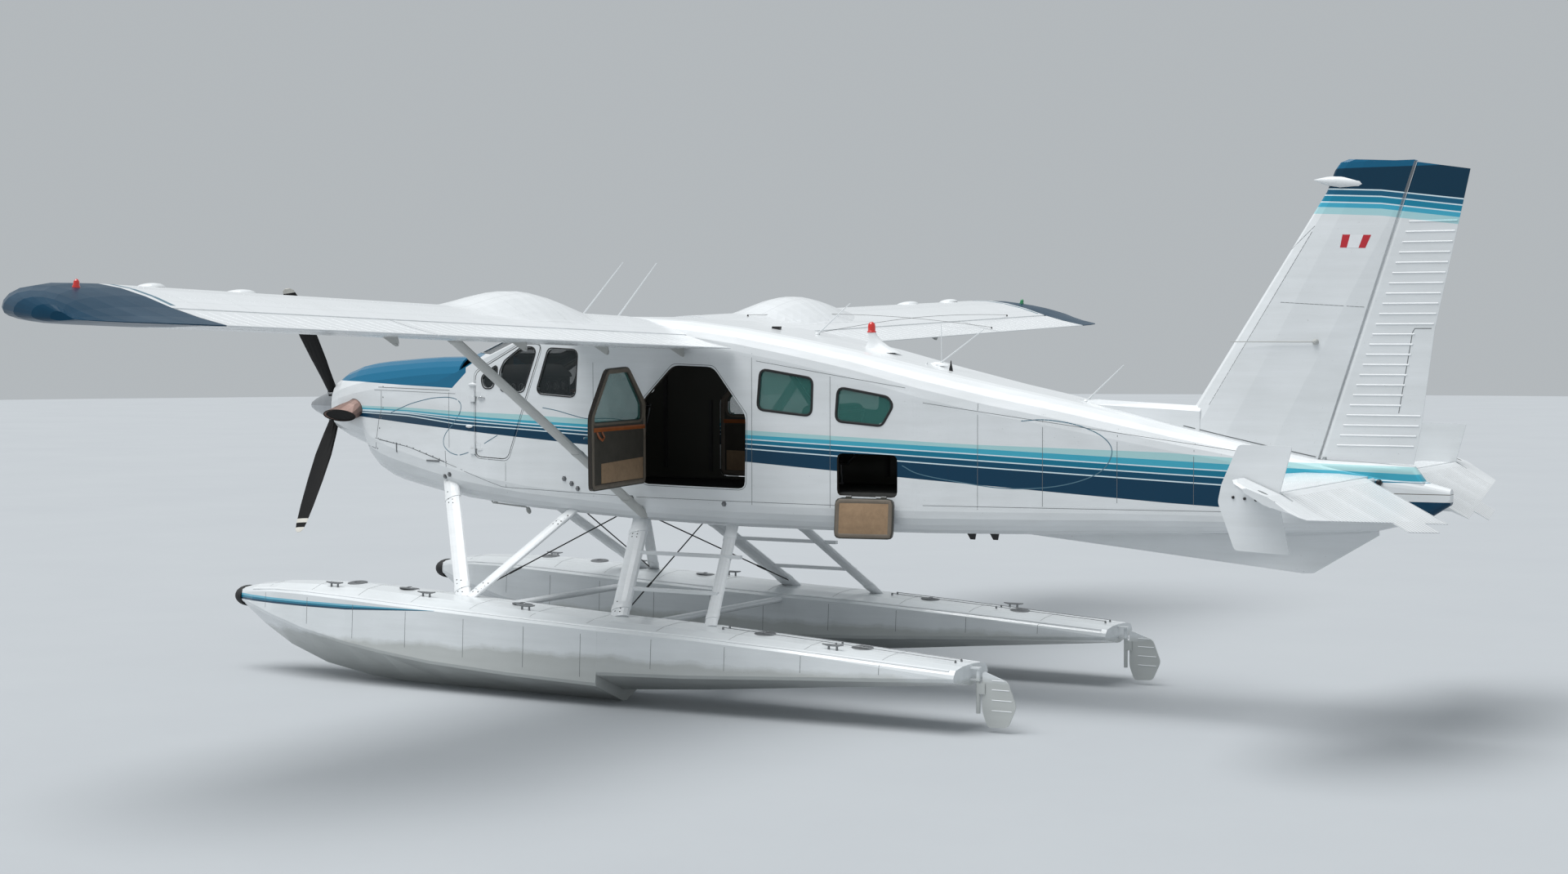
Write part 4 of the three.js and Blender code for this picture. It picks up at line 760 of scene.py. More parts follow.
class Pile:
    """Closed lumps that share a finish."""

    def __init__(self):
        self.points, self.faces = [], []

    def lump(self, points, faces):
        first = len(self.points)
        self.points += [Vector(point) for point in points]
        self.faces += [[first + n for n in face] for face in faces]

    def loft(self, rings, loop=False):
        """Rings of equal count joined in turn, then capped, or closed back onto the first."""
        total, count = len(rings), len(rings[0])
        faces = []
        for n in range(total if loop else total - 1):
            near, far = n * count, (n + 1) % total * count
            turns = [(c, (c + 1) % count) for c in range(count)]
            faces += [(near + c, near + d, far + d, far + c) for c, d in turns]
        if not loop:
            faces += [tuple(range(count - 1, -1, -1)), tuple(range((total - 1) * count, total * count))]
        self.lump([place for ring in rings for place in ring], faces)

    def sweep(self, path, section, normals=None, loop=False, scales=None):
        """The section's (across, out) corners swept along the path. normals may be one for the whole path."""
        count = len(path)
        rings, side = [], None
        for n, place in enumerate(path):
            ahead = path[(n + 1) % count] if loop or n < count - 1 else place
            behind = path[n - 1] if loop or n else place
            way = (ahead - behind).normalized()
            if normals is not None:
                side = way.cross(normals if isinstance(normals, Vector) else normals[n]).normalized()
            elif side is None:
                side = square_to(way)[0]
            else:
                side = (side - way * side.dot(way)).normalized()
            out = side.cross(way).normalized()
            size = scales[n] if scales else 1.0
            rings.append([place + (side * a + out * b) * size for a, b in section])
        self.loft(rings, loop)

    def strip(self, line, section, **options):
        """The section swept along a line of places and normals."""
        self.sweep(line[0], section, line[1], **options)

    def tube(self, path, radius, sides=10, **options):
        ring = [(radius * across, radius * out) for across, out in around(sides)]
        self.sweep([Vector(place) for place in path], ring, **options)

    def turn(self, base, way, profile, sides=16):
        """The profile's (radius, height) corners turned about the way."""
        way = Vector(way).normalized()
        first, second = square_to(way)
        ring = [first * c + second * s for c, s in around(sides)]
        self.loft([[base + way * height + out * max(radius, 1e-5) for out in ring]
                   for radius, height in profile])

    def slab(self, corners, normal, thick):
        """A flat plate between its corners and their copies moved along the normal."""
        corners = [Vector(corner) for corner in corners]
        shift = Vector(normal).normalized() * thick
        self.loft([corners, [corner + shift for corner in corners]])

    def piece(self, name, body, slot, material, smooth=40):
        """The pile as one finished piece, riding on its body."""
        mesh = bpy.data.meshes.new(name)
        mesh.from_pydata([tuple(p) for p in self.points], [], self.faces)
        return settle(name, mesh, body, material, smooth)


def settle(name, mesh, body, material, smooth=40):
    """Cleans a mesh, turns it out with its body and makes it a piece."""
    work = bmesh.new()
    work.from_mesh(mesh)
    bmesh.ops.remove_doubles(work, verts=work.verts, dist=2e-5)
    bmesh.ops.recalc_face_normals(work, faces=work.faces)
    work.to_mesh(mesh)
    work.free()
    if body in STANDING:
        mesh.transform(STANDING[body])
    for face in mesh.polygons:
        face.use_smooth = True
    mesh.set_sharp_from_angle(angle=math.radians(smooth))
    mesh.materials.clear()
    mesh.materials.append(material)
    made = bpy.data.objects.new(name, mesh)
    scene.collection.objects.link(made)
    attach(made, body)
    print(f"{name}: {sum(len(face.vertices) - 2 for face in mesh.polygons)} triangles on {body}")
    return made


print("pile ready")

# %% [markdown]
# ## Window seals
# Each window sits in a black rubber channel that laps both the glass and the sheet. The outline is a
# polygon whose corners are rounded by the same rule as the opening's, set a little outward, and every
# point is dropped on the skin. The channel is one closed cross-section swept round that loop.

# %% Rounded outlines
CORNER_STEPS = 6


def rounded(corners, radius):
    """A polygon's corners replaced by arcs, as a closed loop of (x, z)."""
    loop = []
    count = len(corners)
    for n in range(count):
        here, back, ahead = (Vector(corners[i % count]) for i in (n, n - 1, n + 1))
        one, two = (back - here).normalized(), (ahead - here).normalized()
        half = one.angle(two) / 2
        reach = min(radius / math.tan(half), 0.45 * (back - here).length, 0.45 * (ahead - here).length)
        start, end = here + one * reach, here + two * reach
        for step in range(CORNER_STEPS + 1):
            t = step / CORNER_STEPS
            loop.append(start * (1 - t) ** 2 + here * 2 * t * (1 - t) + end * t * t)
    return loop


def evenly(loop, pitch, closed=True):
    """The same line with points at an even pitch."""
    line = list(loop) + ([loop[0]] if closed else [])
    lengths = [0.0]
    for a, b in zip(line, line[1:]):
        lengths.append(lengths[-1] + (b - a).length)
    count = max(2, round(lengths[-1] / pitch))
    marks = np.linspace(0, lengths[-1], count + 1)[:-1 if closed else None]
    axes = [np.interp(marks, lengths, [p[axis] for p in line]) for axis in range(len(line[0]))]
    return [Vector(p) for p in zip(*axes)]


def grown(loop, by):
    """A closed (x, z) loop moved outward by a distance."""
    count = len(loop)
    area = sum(near.x * far.y - far.x * near.y for near, far in zip(loop, loop[1:] + loop[:1]))
    turn = -1 if area > 0 else 1
    moved = []
    for n in range(count):
        way = (loop[(n + 1) % count] - loop[n - 1]).normalized()
        moved.append(loop[n] + Vector((-way.y, way.x)) * by * turn)
    return moved


WINDOW_RADIUS = 0.050
MIRRORED_WINDOWS = {
    "pilot_window": ([(2.650, .172), (2.894, .168), (3.040, .542), (2.885, .542), (2.700, .425),
                      (2.650, .340)], "pilot_door_{}"),
    "quarter_window": ([(2.437, .286), (2.460, .196), (2.560, .196), (2.612, .330), (2.612, .388)],
                       "pilot_door_{}"),
    "side_window": ([(3.035, .159), (3.431, .132), (3.459, .520), (3.167, .534)], "airframe"),
    "cabin_door_window": ([(4.190, -.042), (5.035, -.042), (5.035, 0), (4.775, .350), (4.445, .358),
                           (4.190, .088)], "cabin_door_{}"),
    "middle_window": ([(5.218, .057), (5.690, .012), (5.700, .298), (5.245, .368)], "airframe"),
    "rear_window": ([(5.915, -.026), (6.300, -.058), (6.395, .098), (6.350, .157), (5.935, .229)],
                    "airframe"),
}
SIDES = {"port": -1, "starboard": 1}
SEAL = [(-0.010, -0.006), (-0.010, 0.002), (-0.006, 0.0045), (0.006, 0.0045), (0.010, 0.002), (0.010, -0.006)]
SEAL_SETBACK, SEAL_PITCH = 0.007, 0.022
SLIM_SEAL, SLIM_WINDOWS = 0.55, ("pilot_window", "side_window", "quarter_window")


def on_side(loop, side):
    """Places and normals of an (x, z) line laid on the side."""
    return laid([side_of(p.x, p.y, side) for p in loop])


# %% Window seals
for window, (corners, body) in MIRRORED_WINDOWS.items():
    loop = evenly(grown(rounded(corners, WINDOW_RADIUS), SEAL_SETBACK), SEAL_PITCH)
    slim = SLIM_SEAL if window in SLIM_WINDOWS else 1.0
    for side_name, side in SIDES.items():
        seal = Pile()
        seal.strip(on_side(loop, side), [(a * slim, b) for a, b in SEAL], loop=True)
        seal.piece(f"{window}_seal_{side_name}", body.format(side_name), "rubber", rubber)

# %% [markdown]
# ## Panes with no CAD node
# The rear windows and the small quarter windows are openings in CAD, and get their glass here. A
# quadratic surface fitted through the opening's rim gives the pane the skin's own slight curve, and rings
# of points shrunk towards the middle fill it. Its second face makes it a closed sheet of acrylic.

# %% Panes
PANE_SETBACK, PANE_THICK, PANE_SHARES = 0.006, 0.005, (0.25, 0.5, 0.75, 1.0)


def terms(x, z):
    """The terms of a quadratic surface over x and z."""
    return [1, x, z, x * x, z * z, x * z]


def pane(name, corners, body, side):
    """Two curved faces in rings about the opening's middle, joined at the rim."""
    loop = evenly(grown(rounded(corners, WINDOW_RADIUS), 0.004), 0.03)
    rim_places = on_side(grown(loop, 0.004), side)[0]
    fit = np.linalg.lstsq([terms(p.x, p.z) for p in rim_places], [p.y for p in rim_places], rcond=None)[0]
    middle = sum(loop, Vector((0, 0))) / len(loop)

    def ring(share, depth):
        places = [at(p.x, 0, p.y) for p in (middle + (q - middle) * share for q in loop)]
        for place in places:
            place.y = float(np.dot(terms(place.x, place.z), fit)) - side * depth
        return places

    outer = [ring(share, PANE_SETBACK) for share in PANE_SHARES]
    inner = [ring(share, PANE_SETBACK + PANE_THICK) for share in reversed(PANE_SHARES)]
    glass = Pile()
    glass.loft(outer + inner)
    glass.piece(name, body, "glass", aqua_glass if name.startswith("rear") else clear_glass, 60)


for side_name, side in SIDES.items():
    for window in ("rear_window", "quarter_window"):
        corners, body = MIRRORED_WINDOWS[window]
        pane(f"{window}_{side_name}", corners, body.format(side_name), side)

# %% [markdown]
# ## Windscreen post
# The vee windscreen has a painted centre post, a pressed channel riveted over the glass. It is a shallow
# strip swept along the glass, taken from rays onto the windscreen's own solid.

# %% Windscreen post
screen_skin = skin_of("windscreen")
STRIP = [(-0.02185, -0.004), (-0.02185, 0.003), (-0.0138, 0.007), (0.0138, 0.007), (0.02185, 0.003),
         (0.02185, -0.004)]
centre_post = Pile()
places, normals = laid([top_of(x, 0, screen_skin) for x in np.linspace(2.02, 2.44, 14)], 0.001)
centre_post.sweep(places, STRIP, [Vector((n.x, 0, n.z)) for n in normals])
centre_post.piece("windscreen_centre_post", "airframe", "white_paint", wing_white)

# %% [markdown]
# ## Door seals, hinges and handles
# Each door closes on a thin dark bead, hangs on two strap hinges, and has one flush lever. The bead is a fine
# strip in the gap. The straps are short swept plates with three turned rivets on each.

# %% Door outlines
DOOR_RADIUS = 0.060
PILOT_DOOR = [(2.362, -.400), (2.724, -.415), (2.920, .104), (3.100, .575), (2.880, .575), (2.362, .324)]
CABIN_DOOR = [(4.110, -.578), (5.095, -.592), (5.105, .005), (4.801, .390), (4.415, .402), (4.110, .104)]
HATCH = [(5.920, -.624), (6.436, -.627), (6.436, -.292), (5.920, -.285)]
FINE = [(-0.0022, -0.003), (-0.0022, 0.0005), (0.0022, 0.0005), (0.0022, -0.003)]

for side_name, side in SIDES.items():
    for door, corners in (("pilot_door", PILOT_DOOR), ("cabin_door", CABIN_DOOR)):
        bead = Pile()
        bead.strip(on_side(evenly(grown(rounded(corners, DOOR_RADIUS), 0.012), 0.03), side), FINE, loop=True)
        bead.piece(f"{door}_bead_{side_name}", "airframe", "rubber", seam_dark)

# %% Hinges and levers
HINGES = {"pilot_door_{}": [(2.362, -.330), (2.362, .120)], "cabin_door_{}": [(4.110, -.440), (4.110, -.040)]}
LEVERS = {"pilot_door_{}": (2.42, .105, .06), "cabin_door_{}": (5.00, -.16, .13)}
LEVER_BLADE = [(-0.009, -0.003), (-0.009, 0.002), (0, 0.004), (0.009, 0.002), (0.009, -0.003)]
HINGE_STRAP = [(-0.014, -0.002), (-0.014, 0.002), (0.014, 0.002), (0.014, -0.002)]
HINGE_RIVET = [(0.004, 0), (0.004, 0.0045), (0.002, 0.0055)]


def aft(distance):
    return Vector((distance, 0, 0))


def lever(pile, place, normal, length):
    """A flush handle: a round boss, and a blade that turns on it."""
    pile.turn(place - normal * 0.004, normal, [(0.020, 0), (0.020, 0.007), (0.015, 0.011)], 14)
    blade = [place + normal * lift + aft(reach)
             for lift, reach in ((0.011, -0.012), (0.016, length * 0.4), (0.012, length))]
    pile.sweep(blade, LEVER_BLADE, normal, scales=[1.1, 1.0, 0.7])


for side_name, side in SIDES.items():
    for body, spots in HINGES.items():
        straps = Pile()
        for x, z in spots:
            place, normal = side_of(x + 0.03, z, side)
            path = [place + aft(dx) + normal * 0.001 for dx in (0.0, 0.035, 0.09)]
            straps.sweep(path, HINGE_STRAP, normal, scales=[1.0, 1.0, 0.7])
            for dx in (0.02, 0.045, 0.07):
                straps.turn(place + aft(dx), normal, HINGE_RIVET, 8)
        door = body.format(side_name)
        straps.piece(f"{door}_hinge_straps", door, "white_paint", wing_white)
        handle = Pile()
        x, z, length = LEVERS[body]
        lever(handle, *side_of(x, z, side), length)
        handle.piece(f"{door}_lever", door, "polished", chrome)

# %% [markdown]
# ## Geometry Nodes for what repeats
# A hull has thousands of rivets and its control surfaces have dozens of pressed beads. Drawing each by
# hand is hopeless, and copying a thousand objects is heavy. Two small trees do it: both take plain mesh
# lines. One walks along the lines and sets a low rivet head at every pitch, turned to the `out` vector
# stored on the line. The other gives each line a rounded body, as a rolling machine would press it. Both
# end in real triangles with their material set.

# %% Trees for rivets and beads
def tree_with(name, inputs):
    """A Geometry Nodes tree with named inputs, and its starting fields."""
    tree = bpy.data.node_groups.new(name, "GeometryNodeTree")
    tree.interface.new_socket("Geometry", in_out="INPUT", socket_type="NodeSocketGeometry")
    for label, (kind, value) in inputs.items():
        made = tree.interface.new_socket(label, in_out="INPUT", socket_type=f"NodeSocket{kind}")
        if value is not None:
            made.default_value = value
    tree.interface.new_socket("Geometry", in_out="OUTPUT", socket_type="NodeSocketGeometry")
    entry = tree.nodes.new("NodeGroupInput")
    return tree, {socket.name: Field(tree, socket) for socket in entry.outputs if socket.name}


def close_tree(tree, shape, material):
    """Realize Instances and Set Material, then the output."""
    real = shape.node("GeometryNodeRealizeInstances", None, {"Geometry": shape})
    dressed = real.node("GeometryNodeSetMaterial", None, {"Geometry": real, "Material": material})
    end = tree.nodes.new("NodeGroupOutput")
    tree.links.new(dressed.socket, end.inputs["Geometry"])


rivet_tree, given = tree_with("rivet_rows", {"Pitch": ("Float", 0.03), "Radius": ("Float", 0.003),
                                             "Height": ("Float", 0.001), "Finish": ("Material", None)})
rows = given["Geometry"].node("GeometryNodeMeshToCurve", None, {"Mesh": given["Geometry"]})
stops = rows.node("GeometryNodeResampleCurve", {"mode": "LENGTH"}, {"Curve": rows, "Length": given["Pitch"]})
cone = {"Vertices": 7, "Radius Top": 0.55, "Radius Bottom": 1.0, "Depth": 1.0}
head = rows.node("GeometryNodeMeshCone", None, cone)
size = rows.node("ShaderNodeCombineXYZ", None, {0: given["Radius"], 1: given["Radius"], 2: given["Height"]})
shaped = rows.node("GeometryNodeTransform", None, {"Geometry": head, "Scale": size})
stored = {"data_type": "FLOAT_VECTOR"}
outward = rows.node("GeometryNodeInputNamedAttribute", stored, {"Name": "out"}, out="Attribute")
turned = rows.node("FunctionNodeAlignRotationToVector", {"axis": "Z"}, {"Vector": outward})
seats = {"Points": stops, "Instance": shaped, "Rotation": turned}
close_tree(rivet_tree, rows.node("GeometryNodeInstanceOnPoints", None, seats), given["Finish"])

bead_tree, given = tree_with("pressed_beads", {"Radius": ("Float", 0.005), "Finish": ("Material", None)})
rows = given["Geometry"].node("GeometryNodeMeshToCurve", None, {"Mesh": given["Geometry"]})
ring = rows.node("GeometryNodeCurvePrimitiveCircle", None, {"Resolution": 6, "Radius": given["Radius"]})
rods = rows.node("GeometryNodeCurveToMesh", None, {"Curve": rows, "Profile Curve": ring, "Fill Caps": True})
close_tree(bead_tree, rods, given["Finish"])
print("trees:", rivet_tree.name, bead_tree.name)

# %% [markdown]
# The trees run once. The evaluated result becomes a plain mesh, one for each body, and the carrier with its
# modifier is removed before the piece is made.

# %% Growing pieces from lines
SIDE_PITCH = 0.05


def grow(tree, name, lines, body, slot, material, **sizes):
    """lines is a list of (places, normals); the tree turns those of three places or more into one piece."""
    points, edges, outs = [], [], []
    for places, normals in (line for line in lines if len(line[0]) > 2):
        first = len(points)
        points += [tuple(p) for p in places]
        outs += [tuple(n) for n in normals]
        edges += [(first + n, first + n + 1) for n in range(len(places) - 1)]
    mesh = bpy.data.meshes.new(name + "_lines")
    mesh.from_pydata(points, edges, [])
    stored = mesh.attributes.new("out", "FLOAT_VECTOR", "POINT")
    stored.data.foreach_set("vector", [v for out in outs for v in out])
    carrier = bpy.data.objects.new(name + "_lines", mesh)
    scene.collection.objects.link(carrier)
    maker = carrier.modifiers.new("grow", "NODES")
    maker.node_group = tree
    values = {"Finish": material, **sizes}
    for item in tree.interface.items_tree:
        if item.in_out == "INPUT" and item.name in values:
            maker[item.identifier] = values[item.name]
    graph = bpy.context.evaluated_depsgraph_get()
    made = bpy.data.meshes.new_from_object(carrier.evaluated_get(graph), depsgraph=graph)
    carrier.modifiers.remove(maker)
    bpy.data.objects.remove(carrier)
    return settle(name, made, body, material, 50)


def path_through(knots, pitch):
    """Even points along an open line through (x, z) knots."""
    return evenly([Vector(knot) for knot in knots], pitch, closed=False)


def side_path(knots, side):
    """An open line laid on the side through (x, z) knots."""
    return on_side(path_through(knots, SIDE_PITCH), side)


# %% [markdown]
# ## Sheet seams on the fuselage
# The skin is made of sheets that lap at frames and stringers. Each lap shows as a thin grey line with a
# row of rivets beside it. The lines are fine strips laid on the skin; the rivets take the same lines a
# little to one side.

# %% Seams
FRAME_SEAMS = [(2.04, -0.33, 0.15), (2.70, -0.70, -0.44), (3.62, -0.70, 0.42),
               (5.16, -0.72, 0.50), (5.86, -0.72, 0.32), (7.10, -0.70, 0.12), (7.62, -0.66, 0.04),
               (8.20, -0.62, -0.06), (8.78, -0.62, -0.16), (9.30, -0.62, -0.26)]
LONG_SEAMS = [[(1.10, -0.27), (1.53, -0.338), (2.20, -0.52)], [(2.22, -0.53), (2.66, -0.651), (4.00, -0.69)],
              [(4.05, -0.69), (5.90, -0.70)], [(5.20, 0.44), (6.50, 0.235)], [(6.65, -0.68), (9.35, -0.66)],
              [(6.65, 0.12), (9.30, -0.24)], [(1.10, 0.16), (2.12, 0.14)]]
SEAM = [(-0.0018, -0.002), (-0.0018, 0.0006), (0.0018, 0.0006), (0.0018, -0.002)]
seams = Pile()
for side in SIDES.values():
    for knots in [[(x, low), (x, high)] for x, low, high in FRAME_SEAMS] + LONG_SEAMS:
        seams.strip(side_path(knots, side), SEAM)
seams.piece("fuselage_sheet_seams", "airframe", "trim", seam_dark)

# %% Fuselage rivets
RIVET = {"Pitch": 0.032, "Radius": 0.0032, "Height": 0.0016}
BESIDE = 0.014
rivet_rows = []
for side in SIDES.values():
    for shift in (-BESIDE, BESIDE):
        rivet_rows += [side_path([(x + shift, low), (x + shift, high)], side) for x, low, high in FRAME_SEAMS]
        rivet_rows += [side_path([(x, z + shift) for x, z in knots], side) for knots in LONG_SEAMS]
    for x in (6.62, 6.86, 7.36, 7.90, 8.48, 9.04):
        rivet_rows.append(side_path([(x, -0.64), (x, 0.30 - 0.19 * (x - 6))], side))
grow(rivet_tree, "fuselage_rivets", rivet_rows, "airframe", "white_paint", body_paint, **RIVET)

# %% [markdown]
# ## Wing rivets and seams
# Rivet rows follow each rib and spar on both faces. The same ray casts find the upper and lower skins.

# %% Wing rivets
wing_skins = {name: skin_of(f"wing_{name}", f"wing_tip_{name}") for name in SIDES}
WING_RIBS = [0.70 + RIB_PITCH * n for n in range(13)]
WING_RIVET = {"Pitch": 0.045, "Radius": 0.0034, "Height": 0.0015}


def wing_row(skin, start, end, upper, count=16, lift=0.0):
    """A row on one face of a wing between two (x, y) places."""
    finder = top_of if upper else under_of
    spots = [Vector(start).lerp(Vector(end), n / (count - 1)) for n in range(count)]
    return laid([finder(p.x, p.y, skin) for p in spots], lift)


for side_name, side in SIDES.items():
    skin, rows = wing_skins[side_name], []
    for upper in (True, False):
        rows += [wing_row(skin, (3.45, side * rib), (4.40, side * rib), upper) for rib in WING_RIBS]
        rows += [wing_row(skin, (x, side * 0.64), (x, side * 6.40), upper, 60) for x in (3.66, 4.30)]
    grow(rivet_tree, f"wing_rivets_{side_name}", rows, "airframe", "white_paint", wing_white, **WING_RIVET)

# %% [markdown]
# ## Beads on the moving surfaces
# The rudder, elevator, flaps and ailerons are stiffened by beads pressed across their chord. A ray from
# each side finds the skin along a bead's line, and the tree gives the line its rounded body, half sunk in
# the skin.

# %% Rudder beads
rudder_skin = skin_of("rudder")
BEAD_SINK = 0.0030
FULL_SHARES, TAB_SHARES = (0.03, 0.97), (0.03, 0.70)
TAB_LOW, TAB_HIGH = 0.08, 0.69


def hinge_at(z):
    """The rudder's hinge line."""
    return np.interp(z, (-0.265, 1.824), (9.695, 10.369))


def rudder_line(z, side):
    """A level bead line on one face of the rudder, from its hinge to its edge or to the tab."""
    start = hinge_at(z) + 0.05
    trail = np.interp(z, (-0.247, 0, 0.685, 1.700, 1.786), (10.353, 10.410, 10.497, 10.715, 10.740))
    shares = TAB_SHARES if TAB_LOW < z < TAB_HIGH else FULL_SHARES
    xs = [start + (trail - start) * share for share in np.linspace(*shares, 12)]
    return laid([cast(rudder_skin, at(x, side * FAR / 2, z), (0, -side, 0)) for x in xs], -BEAD_SINK)


RUDDER_BEADS = [-0.16 + 0.0735 * n for n in range(23)]
rows = [rudder_line(z, side) for z in RUDDER_BEADS for side in SIDES.values()]
grow(bead_tree, "rudder_beads", rows, "rudder", "white_paint", fin_paint, Radius=0.0085)

# %% Elevator, flap and aileron beads
def bead_rows(skin, start, end, y):
    """Bead lines across both faces of a surface, sunk in its skin."""
    return [wing_row(skin, (start, y), (end, y), upper, 8, -BEAD_SINK) for upper in (True, False)]


elevator_skin = skin_of("elevator")
rows = []
for y in [0.34 + 0.058 * n for n in range(34)]:
    trail = np.interp(y, (0.275, 2.360, 2.396), (10.743, 10.371, 10.332))
    for side in SIDES.values():
        rows += bead_rows(elevator_skin, 10.135, trail - 0.02, side * y)
grow(bead_tree, "elevator_beads", rows, "elevator", "white_paint", wing_white, Radius=0.0042)

SURFACE_BEADS = {"flap": [0.74 + 0.114 * n for n in range(32)],
                 "aileron": [4.50 + 0.114 * n for n in range(17)]}
for surface, places_across in SURFACE_BEADS.items():
    for side_name, side in SIDES.items():
        node = f"{surface}_{side_name}"
        skin, (low, high) = skin_of(node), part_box(node)
        rows = []
        for y in places_across:
            rows += bead_rows(skin, low[0] - NOSE + 0.10, high[0] - NOSE - 0.03, side * y)
        grow(bead_tree, f"{surface}_beads_{side_name}", rows, node, "white_paint", wing_white, Radius=0.0048)

# %% [markdown]
# ## Nose fittings
# The cowl is closed by quarter-turn fasteners along its seam. Oval blisters cover the bolts behind the
# cowl, and three thin painted curls sweep over the side. Curls and seams are strips that follow the skin;
# the blisters are lumps swept along it.

# %% Curls on the side
CURLS = [
    [(1.315, -.039), (1.430, .000), (1.575, .046), (1.801, .092), (1.95, .106), (2.035, .107), (2.12, .096),
     (2.175, .066), (2.190, .028), (2.170, -.030), (2.120, -.090), (2.060, -.150), (2.001, -.205),
     (1.972, -.261), (1.975, -.310), (2.005, -.345), (2.060, -.375), (2.140, -.392), (2.200, -.385),
     (2.275, -.365), (2.465, -.284), (2.613, -.210)],
    [(3.10, .035), (3.25, .012), (3.401, -.022), (3.56, -.05), (3.80, -.045), (4.02, -.07)],
    [(6.475, -.372), (6.62, -.435), (6.95, -.49), (7.35, -.53), (7.75, -.50), (8.05, -.40), (8.16, -.25),
     (8.10, -.13), (7.90, -.04), (7.65, .0), (7.45, -.01)],
]
CURL = [(-0.0035, -0.001), (-0.0035, 0.0005), (0.0035, 0.0005), (0.0035, -0.001)]
DOOR_EDGE_X = 2.36


def smoothed(knots, pitch=0.02):
    """A Catmull-Rom curve through (x, z) knots, at an even pitch."""
    line = [Vector(knot) for knot in knots]
    line = [line[0] * 2 - line[1]] + line + [line[-1] * 2 - line[-2]]
    dense = []
    for a, b, c, d in zip(line, line[1:], line[2:], line[3:]):
        for step in range(8):
            t = step / 8
            dense.append(b + (c - a) * t / 2 + (a * 2 - b * 5 + c * 4 - d) * t * t / 2
                         + (b * 3 - a - c * 3 + d) * t * t * t / 2)
    return evenly(dense + [line[-2]], pitch, closed=False)


for number, knots in enumerate(CURLS):
    curl_parts = {"airframe": knots}
    if number == 0:
        curl_parts = {"airframe": [k for k in knots if k[0] < DOOR_EDGE_X],
                      "pilot_door": [k for k in knots if k[0] > DOOR_EDGE_X]}
    for part, part_knots in curl_parts.items():
        for side_name, side in SIDES.items():
            curl = Pile()
            curl.strip(on_side(smoothed(part_knots), side), CURL)
            body = "airframe" if part == "airframe" else f"pilot_door_{side_name}"
            curl.piece(f"side_curl_{number + 1}_{part}_{side_name}", body, "blue_paint", swoosh_blue)

# %% Cowl seams, fasteners and blisters
COWL_SEAM = [(1.190, .190), (1.189, -.020), (1.156, -.100), (1.133, -.225), (1.104, -.365)]
CHIN_SEAM = [(1.104, -.365), (1.060, -.350), (1.000, -.345)]
COWL_LOWER = [(1.153, -.283), (1.529, -.338), (1.978, -.454)]
COWL_REAR, COWL_TOP = [(1.99, -.36), (2.00, -.50)], [(1.15, .185), (2.05, .168)]
cowl_lines = Pile()
fasteners = []
for side in SIDES.values():
    for knots in (COWL_SEAM, CHIN_SEAM, COWL_LOWER, COWL_REAR, COWL_TOP):
        cowl_lines.strip(side_path(knots, side), [(a * 1.4, b) for a, b in SEAM])
    for knots in (COWL_SEAM, COWL_LOWER):
        fasteners.append(side_path([(x + 0.022, z) for x, z in knots], side))
cowl_lines.piece("cowl_seams", "airframe", "trim", seam_dark)
FASTENER = {"Pitch": 0.085, "Radius": 0.0075, "Height": 0.002}
grow(rivet_tree, "cowl_fasteners", fasteners, "airframe", "polished", steel, **FASTENER)

blisters = Pile()
for side in SIDES.values():
    for x, z, wide in ((2.334, .221, .040), (2.291, -.140, .034)):
        place, normal = side_of(x, z, side)
        along = [place + aft(dx) * wide for dx in (-1.2, -.9, -.4, .2, .8, 1.3)]
        oval = [(across * wide * .42, out * wide * .36) for across, out in around(12)]
        blisters.sweep(along, oval, normal, scales=[0.15, 0.7, 1.0, 0.95, 0.6, 0.12])
blisters.piece("nose_blisters", "airframe", "white_paint", wing_white)

# %% [markdown]
# ## Exhaust lips and the spinner's screws
# Each stub ends in a rolled lip with a sooty throat behind it: a black plate across the mouth, which is soot
# and also painted shade for the dark inside of the pipe. The lip is swept round the mouth of the stub's own
# section. The spinner is held by a ring of screws in front of its back plate.

# %% Exhaust and spinner
MOUTH_LEAN = math.radians(42)


def mouth_ring(x, y, z, long, high, side, count):
    """An ellipse round the mouth of a stub."""
    minor = Vector((0, side * math.sin(MOUTH_LEAN), math.cos(MOUTH_LEAN)))
    return [at(x, side * y, z) + aft(long * c) + minor * high * s for c, s in around(count)]


for side_name, side in SIDES.items():
    lip = Pile()
    lip.tube(mouth_ring(0.742, 0.471, -0.073, 0.179, 0.069, side, 40), 0.0045, 8, loop=True)
    lip.piece(f"exhaust_lip_{side_name}", "airframe", "exhaust", soot_and_shade_black)
    # The throat is a black plate across the mouth: soot, and painted shade that stands in for the dark depth
    # of the pipe.
    throat = Pile()
    inner = mouth_ring(0.744, 0.466, -0.068, 0.172, 0.063, side, 36)
    face = (inner[6] - inner[0]).cross(inner[12] - inner[0]).normalized()
    throat.slab(inner, face, 0.002)
    throat.piece(f"exhaust_throat_{side_name}", "airframe", "exhaust", soot_and_shade_black)

SPINNER_SCREWS, SCREW_X = 24, 0.388
SCREW_HEAD = [(0.0052, 0), (0.0052, 0.0018), (0.0035, 0.0026)]
spinner_skin = skin_of("spinner")
screws = Pile()
for across, up in around(2 * SPINNER_SCREWS)[1::2]:
    out = Vector((0, across, up))
    place, normal = cast(spinner_skin, at(SCREW_X, 0, 0) + out, -out)
    screws.turn(place - normal * 0.001, normal, SCREW_HEAD, 8)
screws.piece("spinner_screws", "propeller", "polished", steel)

PROPELLER_X = 0.340
ROOT_COLLAR = [(0.047, 0), (0.052, 0.004), (0.052, 0.016), (0.047, 0.020)]
root_collars = Pile()
for turn in (27, 147, 267):
    out = Vector((0, -math.sin(math.radians(turn)), -math.cos(math.radians(turn))))
    root_collars.turn(at(PROPELLER_X, 0, 0) + out * 0.150, out, ROOT_COLLAR, 20)
root_collars.piece("blade_root_collars", "propeller", "polished", steel)

